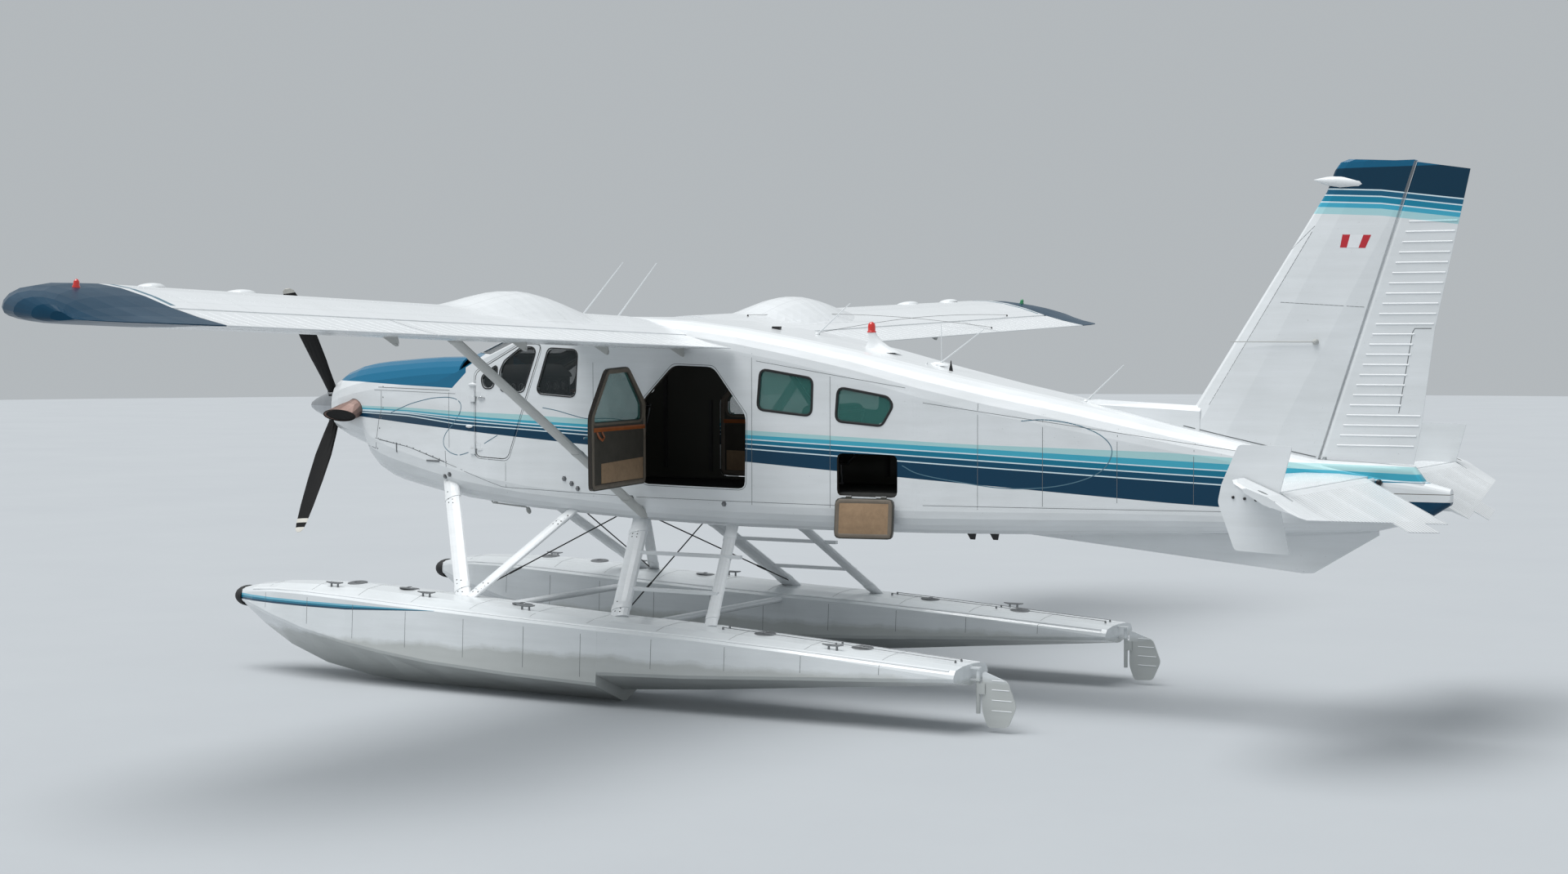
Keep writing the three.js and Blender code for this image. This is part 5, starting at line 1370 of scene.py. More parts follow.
# %% [markdown]
# ## Belly pipe and strut fittings
# A fuel drain runs under the belly on two clips and ends in a bulb. The struts meet the hull in forged
# lugs with bolt heads, and each strut wears a raised collar near its ends. Two flat latches close the
# cowl on each side.

# %% Belly pipe, lugs and bolts
PIPE_Y = -0.30
PIPE_BULB = [(0.010, 0), (0.019, 0.012), (0.021, 0.036), (0.013, 0.056), (0.006, 0.060)]


def level_plate(centre, half_long, half_wide, dz=0.0):
    """The four corners of a level rectangle about a place."""
    return [centre + Vector((dx, dy, dz)) for dx, dy in ((-half_long, -half_wide), (half_long, -half_wide),
                                                         (half_long, half_wide), (-half_long, half_wide))]


pipe = Pile()
path = [under_of(x, PIPE_Y)[0] - Vector((0, 0, 0.022)) for x in (2.33, 2.50, 2.68)]
path = [path[0] + Vector((-0.03, 0, 0.03))] + path + [path[-1] + Vector((0.03, 0, -0.015))]
pipe.tube(path, 0.007)
pipe.turn(path[-1] + Vector((-0.012, 0, 0.012)), (0.5, 0, -1), PIPE_BULB)
for x in (2.36, 2.62):
    pipe.slab(level_plate(under_of(x, PIPE_Y)[0], 0.012, 0.010, 0.002), (0, 0, -1), 0.026)
pipe.piece("belly_drain_pipe", "airframe", "trim", strut_grey)

LUGS = [(1.975, -.585), (2.035, -.565), (3.321, -.560), (3.397, -.600), (3.460, -.640), (4.00, -.70),
        (4.90, -.72)]
LATCHES = [(1.376, -.305, .010, .085), (1.760, -.445, .160, .014)]
LUG_BOLT = [(0.024, 0), (0.024, 0.006), (0.015, 0.007), (0.015, 0.016), (0.010, 0.019)]
lugs = Pile()
for side in SIDES.values():
    for x, z, long, tall in LATCHES:
        corners = [(x, z), (x + long, z), (x + long, z - tall), (x, z - tall)]
        places, normals = laid([side_of(*corner, side) for corner in corners], .001)
        lugs.slab(places, normals[0], .005)
    for x, z in LUGS:
        place, normal = side_of(x, z, side)
        lugs.turn(place - normal * 0.003, normal, LUG_BOLT, 6)
lugs.piece("hull_strut_bolts", "airframe", "polished", steel)


def collar_band(pile, foot, top, share, chord, thick, reach=0.022):
    """A raised band round a streamlined strut, a share of the way along it."""
    way = (top - foot).normalized()
    chordwise = (aft(1) - way * way.x).normalized() * chord / 2
    across = way.cross(chordwise).normalized() * thick / 2 * 1.12
    centre = foot.lerp(top, share)
    pile.loft([[centre + way * step + (chordwise * c + across * s) * size for c, s in around(20)]
               for step, size in ((-reach, 1.02), (-reach * .7, 1.06), (reach * .7, 1.06), (reach, 1.02))])


collars = Pile()
for side in SIDES.values():
    foot, top = at(4.069, side * .520, -.855), at(3.889, side * 2.960, .691)
    for share in (0.10, 0.36, 0.95):
        collar_band(collars, foot, top, share, 0.115, 0.046)
collars.piece("wing_strut_collars", "airframe", "trim", strut_grey)

float_collars = Pile()
STRUTS = [((1.985, .455, -.600), (2.842, 1.392, -1.540), .142, .054),
          ((3.374, .470, -.785), (2.900, 1.388, -1.520), .108, .040),
          ((3.985, .440, -.860), (4.392, 1.392, -1.600), .165, .064),
          ((4.880, .440, -.870), (5.245, 1.389, -1.625), .110, .050)]
for side in SIDES.values():
    for *ends, chord, thick in STRUTS:
        foot, top = (at(x, side * y, z) for x, y, z in ends)
        for share in (0.16, 0.90):
            collar_band(float_collars, foot, top, share, chord, thick, 0.035)
float_collars.piece("float_strut_collars", "airframe", "float_paint", wing_white)

# %% [markdown]
# ## Brace wires
# Streamlined wires cross between the float struts and keep the floats square. They are taut steel with a
# turnbuckle near one end, so each is a thin tube with a fatter barrel. They go from structure to
# structure and never hang free, so they are parts of the frame, not cords.

# %% Brace wires
WIRES = [((3.39, -.45, -.83), (2.87, 1.365, -1.50)), ((3.39, .45, -.83), (2.87, -1.365, -1.50)),
         ((4.13, -.43, -.885), (4.42, 1.365, -1.57)), ((4.13, .43, -.885), (4.42, -1.365, -1.57))]
wires = Pile()
for start, end in WIRES:
    start, end = at(*start), at(*end)
    wires.tube([start, start.lerp(end, 0.5), end], 0.0055, 6)
    barrel = [start.lerp(end, share) for share in (0.70, 0.71, 0.77, 0.78)]
    wires.tube(barrel, 0.009, 8, scales=[0.5, 1, 1, 0.5])
wires.piece("float_brace_wires", "airframe", "trim", rubber)

# %% [markdown]
# ## Aerials, beacon and lamps
# The roof carries two long whips raked aft, a shorter whip, one on a fillet, a thin mast, a small black
# blade, a black box, and a red beacon on a faired pedestal. Each stands on a base that is dropped on the
# skin. Tapering tubes make the rods; the pedestal is an oval loft from a wide foot to a round neck.

# %% Aerials
UP = Vector((0, 0, 1))
FAIRED_WHIP_FOOT = [(-.022, 0), (-.012, .026), (0, .034), (.012, .026), (.022, 0), (0, -.004)]
BLACK_BLADE = [(.017, 0), (.014, .022), (.006, .06), (.003, .085)]


def rod(pile, foot, tip, radius, base=0.022, base_height=0.016):
    """A tapering whip on a round base."""
    flange = [(base, 0), (base, base_height * .6), (base * .55, base_height + .004)]
    pile.turn(foot - UP * .004, UP, flange, 14)
    pile.tube([foot.lerp(tip, n / 6) for n in range(7)], radius, 8, scales=[1.5, 1.15, 1, .9, .8, .7, .55])


aerials = Pile()
WHIPS = [((3.015, 0.0), (3.507, 0.0, 1.270)), ((3.427, 0.0), (3.850, 0.0, 1.258)),
         ((5.330, .160), (5.640, .160, .905)), ((7.803, 0.0), (8.112, 0.0, .414))]
wing_and_roof = skin_of("wing_port", "wing_starboard", "cabin_roof", "tail_boom")
for foot, tip in WHIPS:
    rod(aerials, top_of(*foot, wing_and_roof)[0], at(*tip), 0.0062)
faired = top_of(6.521, 0.0)[0]
rod(aerials, faired, at(6.945, 0, .700), 0.0056)
aerials.sweep([faired + Vector((dx, 0, -.006)) for dx in (-.13, -.08, -.02, .05, .10)], FAIRED_WHIP_FOOT, UP,
              scales=[.12, .55, 1.0, .9, .25])
rod(aerials, top_of(6.53, 0.0)[0] + Vector((.004, .05, 0)), at(6.528, .05, .735), 0.0036, 0.012, 0.010)
rod(aerials, top_of(6.474, -.10)[0], at(6.486, -.10, .432), 0.0045, 0.010, 0.010)
aerials.piece("roof_whips", "airframe", "trim", wing_white)

black_fittings = Pile()
black_fittings.turn(top_of(6.70, -.12)[0] - UP * .004, UP, BLACK_BLADE, 14)
box_foot, box_up = top_of(5.06, -.05)
black_fittings.slab(level_plate(box_foot, .035, .02, -.004), box_up, .026)
black_fittings.piece("roof_black_fittings", "airframe", "rubber", black_metal)

# %% Beacon
PEDESTAL = [(0.0, 0.190, 0.085), (0.022, 0.160, 0.070), (0.050, 0.105, 0.052), (0.092, 0.060, 0.039),
            (0.142, 0.036, 0.033), (0.165, 0.036, 0.033)]
BEACON_X, BEACON_TOP_X = 6.000, 5.925
PEDESTAL_HEIGHT = PEDESTAL[-1][0]
beacon_foot = top_of(BEACON_X, 0.0)[0] - UP * .022
rings = []
for height, long, wide in PEDESTAL:
    centre = beacon_foot + Vector(((BEACON_TOP_X - BEACON_X) * height / PEDESTAL_HEIGHT, 0, height))
    rings.append([centre + Vector((long * c, wide * s, 0)) for c, s in around(24)])
pedestal = Pile()
pedestal.loft(rings)
pedestal.piece("beacon_pedestal", "airframe", "white_paint", wing_white)


def lamp_look(place, normal):
    ribs = place.stretched(0, 0, 1).noise(160, 0)
    return {"Base Color": ribs.pick(ink(206, 44, 34), ink(150, 22, 18)), "Roughness": ribs * 0.1 + 0.08}


glow = {"Emission_Color": ink(200, 30, 20), "Emission_Strength": 0.25}
red_lamp = finish_of("red_lamp", lamp_look, Coat_Weight=1.0, **glow)
LAMP_DOME = [(.037, 0), (.037, .010), (.031, .014), (.031, .052), (.027, .070), (.016, .082), (.004, .087)]
beacon_top = at(BEACON_TOP_X, 0, 0)
beacon_top.z = beacon_foot.z + PEDESTAL_HEIGHT - .002
dome = Pile()
dome.turn(beacon_top, UP, LAMP_DOME, 24)
dome.piece("beacon_lamp", "airframe", "glass", red_lamp)

# %% [markdown]
# ## On the wings
# Each wing has low domes over its fuel vents near the tip, a position lamp, filler caps, and sheet-metal
# brackets that carry the flap below. A pale stripe parts the blue tip from the white.

# %% Wing fittings
TIP_LAMP = [(.024, 0), (.024, .012), (.020, .018), (.018, .040), (.010, .052), (.002, .056)]
VENT_DOME = [(1, 0), (.93, .016), (.7, .028), (.35, .035), (.05, .037)]
FUEL_CAP = [(.052, 0), (.052, .003), (.046, .0045), (.002, .006)]
CAP_LEVER = [(-.006, -.002), (-.004, .004), (.004, .004), (.006, -.002)]
PALE_LINE = [(-.020, -.001), (-.020, .0005), (.020, .0005), (.020, -.001)]
green_lamp = plain("green_lamp", (30, 150, 90), (20, 110, 70), 30, .08, .1, .0002, Coat_Weight=1.0)
for side_name, side in SIDES.items():
    skin = wing_skins[side_name]
    domes = Pile()
    for x, y, size in ((3.687, 4.933, .115), (3.722, 5.802, .100)):
        place, normal = top_of(x, side * y, skin)
        domes.turn(place - normal * .006, normal, [(size * share, height) for share, height in VENT_DOME], 28)
    domes.piece(f"wing_vent_domes_{side_name}", "airframe", "white_paint", wing_white)
    lamp = Pile()
    place, normal = top_of(4.106, side * 6.811, skin)
    lamp.turn(place - normal * .004, normal, TIP_LAMP, 18)
    lamp.piece(f"tip_lamp_{side_name}", "airframe", "glass", red_lamp if side < 0 else green_lamp)
    caps = Pile()
    for x, y in ((3.62, 1.10), (3.62, 2.55)):
        place, normal = top_of(x, side * y, skin)
        caps.turn(place - normal * .002, normal, FUEL_CAP, 28)
        caps.sweep([place + normal * .005 + aft(dx) for dx in (-.03, 0, .03)], CAP_LEVER, normal)
    caps.piece(f"fuel_caps_{side_name}", "airframe", "polished", steel)
    pale_line = Pile()
    for upper in (True, False):
        pale_line.strip(wing_row(skin, (3.45, side * 6.30), (4.96, side * 6.43), upper, 30, .0004), PALE_LINE)
    pale_line.piece(f"tip_pale_line_{side_name}", "airframe", "blue_paint", swoosh_blue)

# %% Flap and aileron brackets
BRACKETS = [(4.47, 0.69), (4.09, 1.22), (4.33, 2.65), (4.33, 4.15)]
BRACKET_PLATE = [(-.05, .006), (.09, .006), (.10, -.045), (.085, -.066), (.065, -.060)]
for side_name, side in SIDES.items():
    brackets = Pile()
    for x, y in BRACKETS:
        corner = under_of(x, side * y, wing_skins[side_name])[0]
        brackets.slab([corner + Vector((dx, -.005, dz)) for dx, dz in BRACKET_PLATE], (0, 1, 0), .010)
        brackets.turn(corner + Vector((.083, -.010, -.055)), (0, 1, 0), [(.010, 0), (.010, .020)], 10)
    brackets.piece(f"flap_brackets_{side_name}", "airframe", "trim", strut_grey)

# %% [markdown]
# ## Aerial wires
# Two thin wires run from short posts on the roof out to the starboard wing. They are drawn tight, with a
# small sag.

# %% Aerial wires
ROOF_WIRES = [((4.03, 1.20), (4.85, 4.50)), ((5.32, .19), (4.50, 5.60))]
starboard_wing = skin_of("wing_starboard", "aileron_starboard")
roof_wires = Pile()
for roof_end, wing_end in ROOF_WIRES:
    start = top_of(*roof_end, wing_and_roof)[0] + UP * .012
    end = top_of(*wing_end, starboard_wing)[0] + UP * .012
    bowed = [start.lerp(end, n / 12) + UP * .055 * math.sin(math.pi * n / 12) for n in range(13)]
    roof_wires.tube(bowed, .0016, 5)
    for foot in (start, end):
        roof_wires.turn(foot - UP * .018, UP, [(.010, 0), (.008, .010), (.004, .022)], 10)
roof_wires.piece("aerial_wires", "airframe", "rubber", rubber)

# %% [markdown]
# ## Tail fittings
# The fin carries a slanted red-white-red patch on each side, a level aerial rod on a blunt root, and a
# spike fairing just under its cap. The rudder's trim tab is parted by a fine dark line. Plates a fraction
# of a millimetre thick make the patch, because a sheet with no thickness has no outside.

# %% Fin patch
fin_skin = skin_of("fin")
PATCH = [(9.830, 1.373), (10.041, 1.366), (9.999, 1.272), (9.812, 1.279)]
PATCH_SHARES = {"red": (flag_red, [(0.0, 0.27), (0.73, 1.0)]), "white": (white_mark, [(0.27, 0.73)])}
FIN_LIFT, PATCH_THICK = 0.0003, 0.0006


def on_fin(x, z, side, skin=fin_skin):
    """Place and normal on one face of the fin."""
    return cast(skin, at(x, side * FAR / 2, z), (0, -side, 0))


def fin_line(start, end, side, count=15):
    """A straight line laid on one face of the fin between two (x, z) places."""
    spots = [Vector(start).lerp(Vector(end), n / (count - 1)) for n in range(count)]
    return laid([on_fin(p.x, p.y, side) for p in spots])


def patch_corner(along, down):
    top = Vector(PATCH[0]).lerp(Vector(PATCH[1]), along)
    return top.lerp(Vector(PATCH[3]).lerp(Vector(PATCH[2]), along), down)


for colour_name, (colour, shares) in PATCH_SHARES.items():
    patch = Pile()
    for side in SIDES.values():
        for start, end in shares:
            flat = [patch_corner(a, d) for a, d in ((start, 0), (end, 0), (end, 1), (start, 1))]
            met = [on_fin(p.x, p.y, side) for p in flat]
            normal = met[0][1]
            patch.slab([place + normal * FIN_LIFT for place, _ in met], normal, PATCH_THICK)
    patch.piece(f"fin_patch_{colour_name}", "airframe", "trim", colour)

# %% Fin aerial, spike and seams
fin_rods = Pile()
for side in SIDES.values():
    root, out = on_fin(9.640, .594, side)
    fin_rods.turn(root - out * .004, out, [(.020, 0), (.024, .010), (.018, .030), (.008, .040)], 14)
    path = [root + out * .022, root + out * .026 + aft(-.30), root + out * .030 + aft(-.645)]
    fin_rods.tube(path, .0045, 8, scales=[1.2, 1, .7])
fin_rods.piece("fin_aerial_rods", "airframe", "trim", strut_grey)

spike = Pile()
tip, tail = at(9.600, 0, 1.776), at(10.092, 0, 1.722)
path = [tip.lerp(tail, share) for share in (0, .08, .2, .42, .7, 1)]
spike.tube(path, .052, 14, scales=[.06, .30, .62, .95, .8, .2])
spike.piece("fin_spike", "airframe", "white_paint", wing_white)

fin_lines, fin_rows = Pile(), []
FIN_SEAMS = [[(9.366, .885), (10.099, .839)], [(9.30, 1.15), (9.62, 1.44)], [(8.82, .12), (9.60, 1.40)]]
for side in SIDES.values():
    for start, end in FIN_SEAMS:
        fin_rows.append(fin_line(start, end, side))
        fin_lines.strip(fin_rows[-1], SEAM)
fin_lines.piece("fin_seams", "airframe", "trim", seam_dark)
for z in [-.05 + .21 * n for n in range(8)]:
    lead = np.interp(z, (-.420, -.020, 1.687), (8.372, 8.610, 9.698)) + .12
    fin_rows += [fin_line((lead, z), (hinge_at(z) - .04, z), side) for side in SIDES.values()]
FIN_RIVET = {"Pitch": .036, "Radius": .003, "Height": .0012}
grow(rivet_tree, "fin_rivets", fin_rows, "airframe", "white_paint", fin_paint, **FIN_RIVET)

# %% Rudder tab
tab_lines = Pile()
TAB = [(10.245, .08), (10.345, .69), (10.475, .69)]
for side in SIDES.values():
    line = laid([on_fin(p.x, p.y, side, rudder_skin) for p in path_through(TAB, .04)])
    tab_lines.strip(line, [(a * 1.6, b) for a, b in SEAM])
tab_lines.piece("rudder_tab_gap", "rudder", "trim", seam_dark)

# %% [markdown]
# ## Tailplane fittings
# The finlets are bolted to the stabiliser's ends with a row of dark bolts, the stabiliser has its own
# rivet rows, and a black stop knob stands beside the tail cone. The horns of the elevator carry an oval
# wear mark.

# %% Tailplane
TAIL_RIVET = {"Pitch": .042, "Radius": .003, "Height": .0013}
tail_skin = skin_of("tailplane")
rows = []
for side in SIDES.values():
    for upper in (True, False):
        rows += [wing_row(tail_skin, (9.40 + .18 * y, side * y), (10.02, side * y), upper, 12)
                 for y in [.20 + .24 * n for n in range(9)]]
        rows += [wing_row(tail_skin, (x, side * .16), (x, side * 2.08), upper, 30) for x in (9.86, 10.00)]
grow(rivet_tree, "tailplane_rivets", rows, "airframe", "white_paint", wing_white, **TAIL_RIVET)

FINLET_BOLT = [(.011, 0), (.011, .005), (.007, .009)]
bolts = Pile()
for side in SIDES.values():
    for x in (9.769, 9.848, 9.926, 10.010):
        for face, reach in ((1, 2.1323), (-1, 2.1203)):
            bolts.turn(at(x, side * reach, -.415 - (x - 9.769) * .08), (0, side * face, 0), FINLET_BOLT, 6)
bolts.piece("finlet_bolts", "airframe", "trim", black_metal)

knob = Pile()
place, normal = side_of(10.131, -.421, -1)
knob.turn(place - normal * .01, normal, [(.020, 0), (.024, .018), (.020, .038), (.006, .046)])
knob.piece("tail_stop_knob", "airframe", "rubber", black_metal)

HORN_MARK = [(-.018, 0), (-.012, .0008), (.012, .0008), (.018, 0), (0, -.001)]
marks = Pile()
for side in SIDES.values():
    line = wing_row(elevator_skin, (9.99, side * 2.33), (10.06, side * 2.33), True, 5, .0003)
    marks.strip(line, HORN_MARK, scales=[.5, 1, 1.1, 1, .5])
marks.piece("horn_marks", "elevator", "trim", seam_dark)

# %% [markdown]
# ## Under the tail
# The ventral fin hangs from a flange, and two small aerial blades stand ahead of it. The flange is a pair
# of strips along the keel line of the boom.

# %% Ventral fittings
VENTRAL_FOOT = [(7.20, -.885), (9.50, -.836), (10.05, -.79)]
VENTRAL_FLANGE = [(-.012, -.002), (-.012, .002), (.012, .002), (.012, -.002)]
BELLY_BLADE = [(-.05, .004), (.05, .004), (.035, -.07), (-.005, -.07)]
ventral = Pile()
for side in SIDES.values():
    path = [at(x, side * .012, z - .012) for x, z in VENTRAL_FOOT]
    ventral.sweep(path, VENTRAL_FLANGE, Vector((0, side, 0)))
ventral.piece("ventral_flange", "airframe", "white_paint", wing_white)
blades = Pile()
for x in (6.82, 7.02):
    foot = under_of(x, 0)[0]
    blades.slab([foot + Vector((dx, -.004, dz)) for dx, dz in BELLY_BLADE], (0, 1, 0), .008)
blades.piece("belly_blades", "airframe", "trim", black_metal)

# %% [markdown]
# ## Float decks
# Each float is a riveted hull of its own, with a rub strip at the deck's edge, seams at its bulkheads,
# round inspection plates with a lifting ring, mooring cleats, and a cable to the water rudder. The
# float's own triangles give every place again.

# %% Float skins
float_skins = {name: skin_of(f"float_{name}") for name in SIDES}
FLOAT_Y = 1.400
BULKHEADS = [.90, 1.45, 1.98, 2.55, 3.15, 3.75, 4.30, 4.95, 5.60, 6.25, 6.90]


def float_side(x, z, name, outer):
    """Place and normal on a float's outer or inner side."""
    side = SIDES[name] * (1 if outer else -1)
    start = at(x, SIDES[name] * FLOAT_Y + side * 1.0, z)
    return cast(float_skins[name], start, (0, -side, 0))


def float_deck(x, off, name):
    return top_of(x, SIDES[name] * FLOAT_Y + off, float_skins[name])


EDGE_Z = [(.70, -1.53), (1.0, -1.508), (1.4, -1.505), (1.9, -1.520), (2.81, -1.560), (3.6, -1.592),
          (4.45, -1.625), (5.25, -1.650), (6.2, -1.700), (7.45, -1.776)]
RUB_STRIP = [(-.010, -.003), (-.008, .004), (0, .007), (.008, .004), (.010, -.003)]
FLOAT_RIVET = {"Pitch": .036, "Radius": .0034, "Height": .0014}


def edge_line(name, outer, pitch, drop):
    """A line below the deck's edge on one side of a float."""
    return laid([float_side(p.x, p.y - drop, name, outer) for p in path_through(EDGE_Z, pitch)])


for name in SIDES:
    across, rows, rub_strips = [], [], Pile()
    for outer in (True, False):
        for x in BULKHEADS:
            high = np.interp(x, *zip(*EDGE_Z)) - .02
            low = np.interp(x, (.9, 1.9, 4.4, 4.5, 7.4), (-1.70, -1.88, -2.05, -1.96, -1.84)) + .02
            across.append(laid([float_side(x, z, name, outer) for z in np.linspace(high, low, 9)]))
        rows += [edge_line(name, outer, .10, drop) for drop in (.022, .062)]
        rub_strips.strip(edge_line(name, outer, .08, .006), RUB_STRIP)
    for x in BULKHEADS:
        wide = np.interp(x, (.7, 1.4, 2.3, 5.25, 7.5), (.165, .290, .340, .325, .250)) - .02
        across.append(laid([float_deck(x, off, name) for off in np.linspace(-wide, wide, 11)]))
    lines = Pile()
    for places, normals in across:
        lines.sweep(places, SEAM, normals)
        rows.append(([place + aft(BESIDE) for place in places], normals))
    lines.piece(f"float_seams_{name}", "airframe", "trim", seam_dark)
    grow(rivet_tree, f"float_rivets_{name}", rows, "airframe", "float_paint", float_paint, **FLOAT_RIVET)
    rub_strips.piece(f"float_rub_strips_{name}", "airframe", "float_paint", wing_white)

# %% Cleats, plates and rudder cables
CLEATS = [1.63, 2.61, 3.62, 6.45]
CLEAT_BAR = [(-.09, .040), (-.05, .035), (0, .034), (.05, .035), (.09, .040)]
PLATES = [1.72, 2.28, 3.45, 5.75, 6.60]
PLATE = [(.085, 0), (.085, .005), (.078, .008), (.030, .009), (.028, .006), (.004, .006)]
CABLE_POST = [(.009, 0), (.008, .018), (.004, .024)]
for name, side in SIDES.items():
    cleats = Pile()
    for x in CLEATS:
        place = float_deck(x, side * .19, name)[0]
        for dx in (-.035, .035):
            cleats.turn(place + Vector((dx, 0, -.004)), UP, [(.010, 0), (.008, .034)], 10)
        bar = [place + Vector((dx, 0, dz)) for dx, dz in CLEAT_BAR]
        cleats.tube(bar, .0085, 8, scales=[.6, 1, 1.15, 1, .6])
    cleats.piece(f"deck_cleats_{name}", "airframe", "polished", steel)
    plates = Pile()
    for x in PLATES:
        place, up = float_deck(x, 0, name)
        plates.turn(place - up * .003, up, PLATE, 28)
        ring = [place + up * .012 + Vector((.018 * c, .018 * s, 0)) for c, s in around(14)]
        plates.tube(ring, .0022, 6, loop=True)
    plates.piece(f"deck_plates_{name}", "airframe", "polished", steel)
    cables = Pile()
    for off in (-.05, .05):
        route = [float_deck(x, off, name)[0] + UP * .016 for x in (5.40, 5.9, 6.4, 6.9, 7.40)]
        cables.tube(route, .0028, 6)
        for place in route[::2]:
            cables.turn(place - UP * .019, UP, CABLE_POST, 8)
    cables.piece(f"rudder_cables_{name}", "airframe", "polished", steel)

# %% Water rudder ribs
for name, side in SIDES.items():
    low, high = (Vector(corner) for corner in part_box(f"water_rudder_{name}"))
    skin = skin_of(f"water_rudder_{name}")
    size, rows = high - low, []
    for share in (.30, .48, .66, .82):
        for face in (-1, 1):
            met = [cast(skin, Vector((low.x + size.x * s, side * FLOAT_Y + face, low.z + size.z * share)),
                        (0, -face, 0)) for s in np.linspace(.40, .90, 9)]
            rows.append(laid([hit for hit in met if hit and abs(hit[0].y - side * FLOAT_Y) < .05], -.002))
    body = f"water_rudder_{name}"
    grow(bead_tree, f"water_rudder_beads_{name}", rows, body, "float_paint", wing_white, Radius=.0045)

# %% [markdown]
# ## Bolts on the float struts
# Every strut is pinned to a fitting at each end by rows of bolts, which show as fine dark dots. A ray
# onto the strut's own side gives each bolt its seat. The seam where the fin meets the boom is a strip.

# %% Strut bolts and root seam
BOLTED = {"front_struts_{}": STRUTS[:2], "rear_struts_{}": STRUTS[2:3]}
BOLT_SHARES = (.12, .15, .18, .21, .84, .87, .90, .93)
STRUT_BOLT = [(.0058, 0), (.0058, .003), (.003, .005)]
for side_name, side in SIDES.items():
    pins = Pile()
    for node, bars in BOLTED.items():
        strut_skin = skin_of(node.format(side_name))
        for top, foot, *_ in bars:
            for share in BOLT_SHARES:
                for ahead in (-.024, .024):
                    spot = Vector(top).lerp(Vector(foot), share)
                    met = cast(strut_skin, at(spot.x + ahead, side * 4, spot.z), (0, -side, 0))
                    if met:
                        pins.turn(met[0] - met[1] * .001, met[1], STRUT_BOLT, 6)
    pins.piece(f"float_strut_bolts_{side_name}", "airframe", "trim", black_metal)

root_gap = Pile()
for side in SIDES.values():
    root_gap.strip(fin_line((8.62, -.03814), (9.64, -.24928), side, 16), [(a * 2, b * 1.5) for a, b in SEAM])
root_gap.piece("fin_root_gap", "airframe", "trim", seam_dark)

# %% [markdown]
# ## Fairing under the rudder
# The boom's top carries a rounded fairing as far aft as the rudder's foot reaches, with a slanting rear
# edge. The pale bands of the side run on along it.

# %% Rudder fairing
# Station, half width, top and corner radius of each section
FAIRING = [(9.50, .118, -.262, .070), (10.05, .084, -.284, .052), (10.362, .062, -.303, .042),
           (10.451, .056, -.420, .038)]
FAIRING_FOOT = -.500


def fairing_ring(x, half_width, top, radius):
    """A section with rounded upper corners, as places round it."""
    corner = [(half_width - radius * (1 - c), top - radius * (1 - s)) for c, s in around(32)[:9]]
    half = [(half_width, FAIRING_FOOT)] + corner
    return [at(x, y, z) for y, z in half + [(-y, z) for y, z in reversed(half)]]


fairing = Pile()
fairing.loft([fairing_ring(*section) for section in FAIRING])
fairing.piece("rudder_fairing", "airframe", "white_paint", body_paint, 50)

# %% [markdown]
# ## Door linings
# Inside, each door is a grey-brown pressed frame round a dark fabric panel, with a varnished strip under
# the window, a tan pocket at the foot and a pull loop near the free edge. The inner wall's place is where
# a ray from the cabin's middle meets the skin. Plates are grids of such places, so they take the wall's
# own curve.

# %% Inner wall helpers
def inner_of(x, z, side):
    """Place and inward normal on the cabin's inner wall."""
    for dx, dz in NUDGES:
        met = cast(hull_skin, at(x + dx, 0, z + dz), (0, 1, 0))
        if met and met[0].y < .75:
            break
    place, normal = met
    normal = normal if normal.y < 0 else -normal
    return Vector((x + NOSE, place.y * side, z + THRUST)), Vector((normal.x, normal.y * side, normal.z))


def inner_line(loop, side, lift=0.0):
    """A line of (x, z) points laid on the inner wall."""
    return laid([inner_of(p.x, p.y, side) for p in loop], lift)


def plate_on(pile, corners, side, thick, swell=0.0, across=14, down=6):
    """A closed plate on the inner wall between four (x, z) corners; swell thickens its middle."""
    one, two, three, four = [Vector(corner) for corner in corners]
    points, faces = [], []
    for layer in (0, 1):
        for row in range(down + 1):
            for col in range(across + 1):
                a, d = col / across, row / down
                p = one.lerp(two, a).lerp(four.lerp(three, a), d)
                place, normal = inner_of(p.x, p.y, side)
                bulge = swell * (math.sin(math.pi * a) * math.sin(math.pi * d)) ** 0.6
                points.append(place + normal * (0.0008 + layer * (thick + bulge)))
    wide, layer = across + 1, (across + 1) * (down + 1)
    for row in range(down):
        for col in range(across):
            a = row * wide + col
            faces.append((a, a + wide, a + wide + 1, a + 1))
            faces.append((layer + a, layer + a + 1, layer + a + wide + 1, layer + a + wide))
    rim = list(range(wide)) + [row * wide + across for row in range(1, down + 1)]
    rim += [down * wide + col for col in range(across - 1, -1, -1)]
    rim += [row * wide for row in range(down - 1, 0, -1)]
    faces += [(near, far, layer + far, layer + near) for near, far in zip(rim, rim[1:] + rim[:1])]
    pile.lump(points, faces)


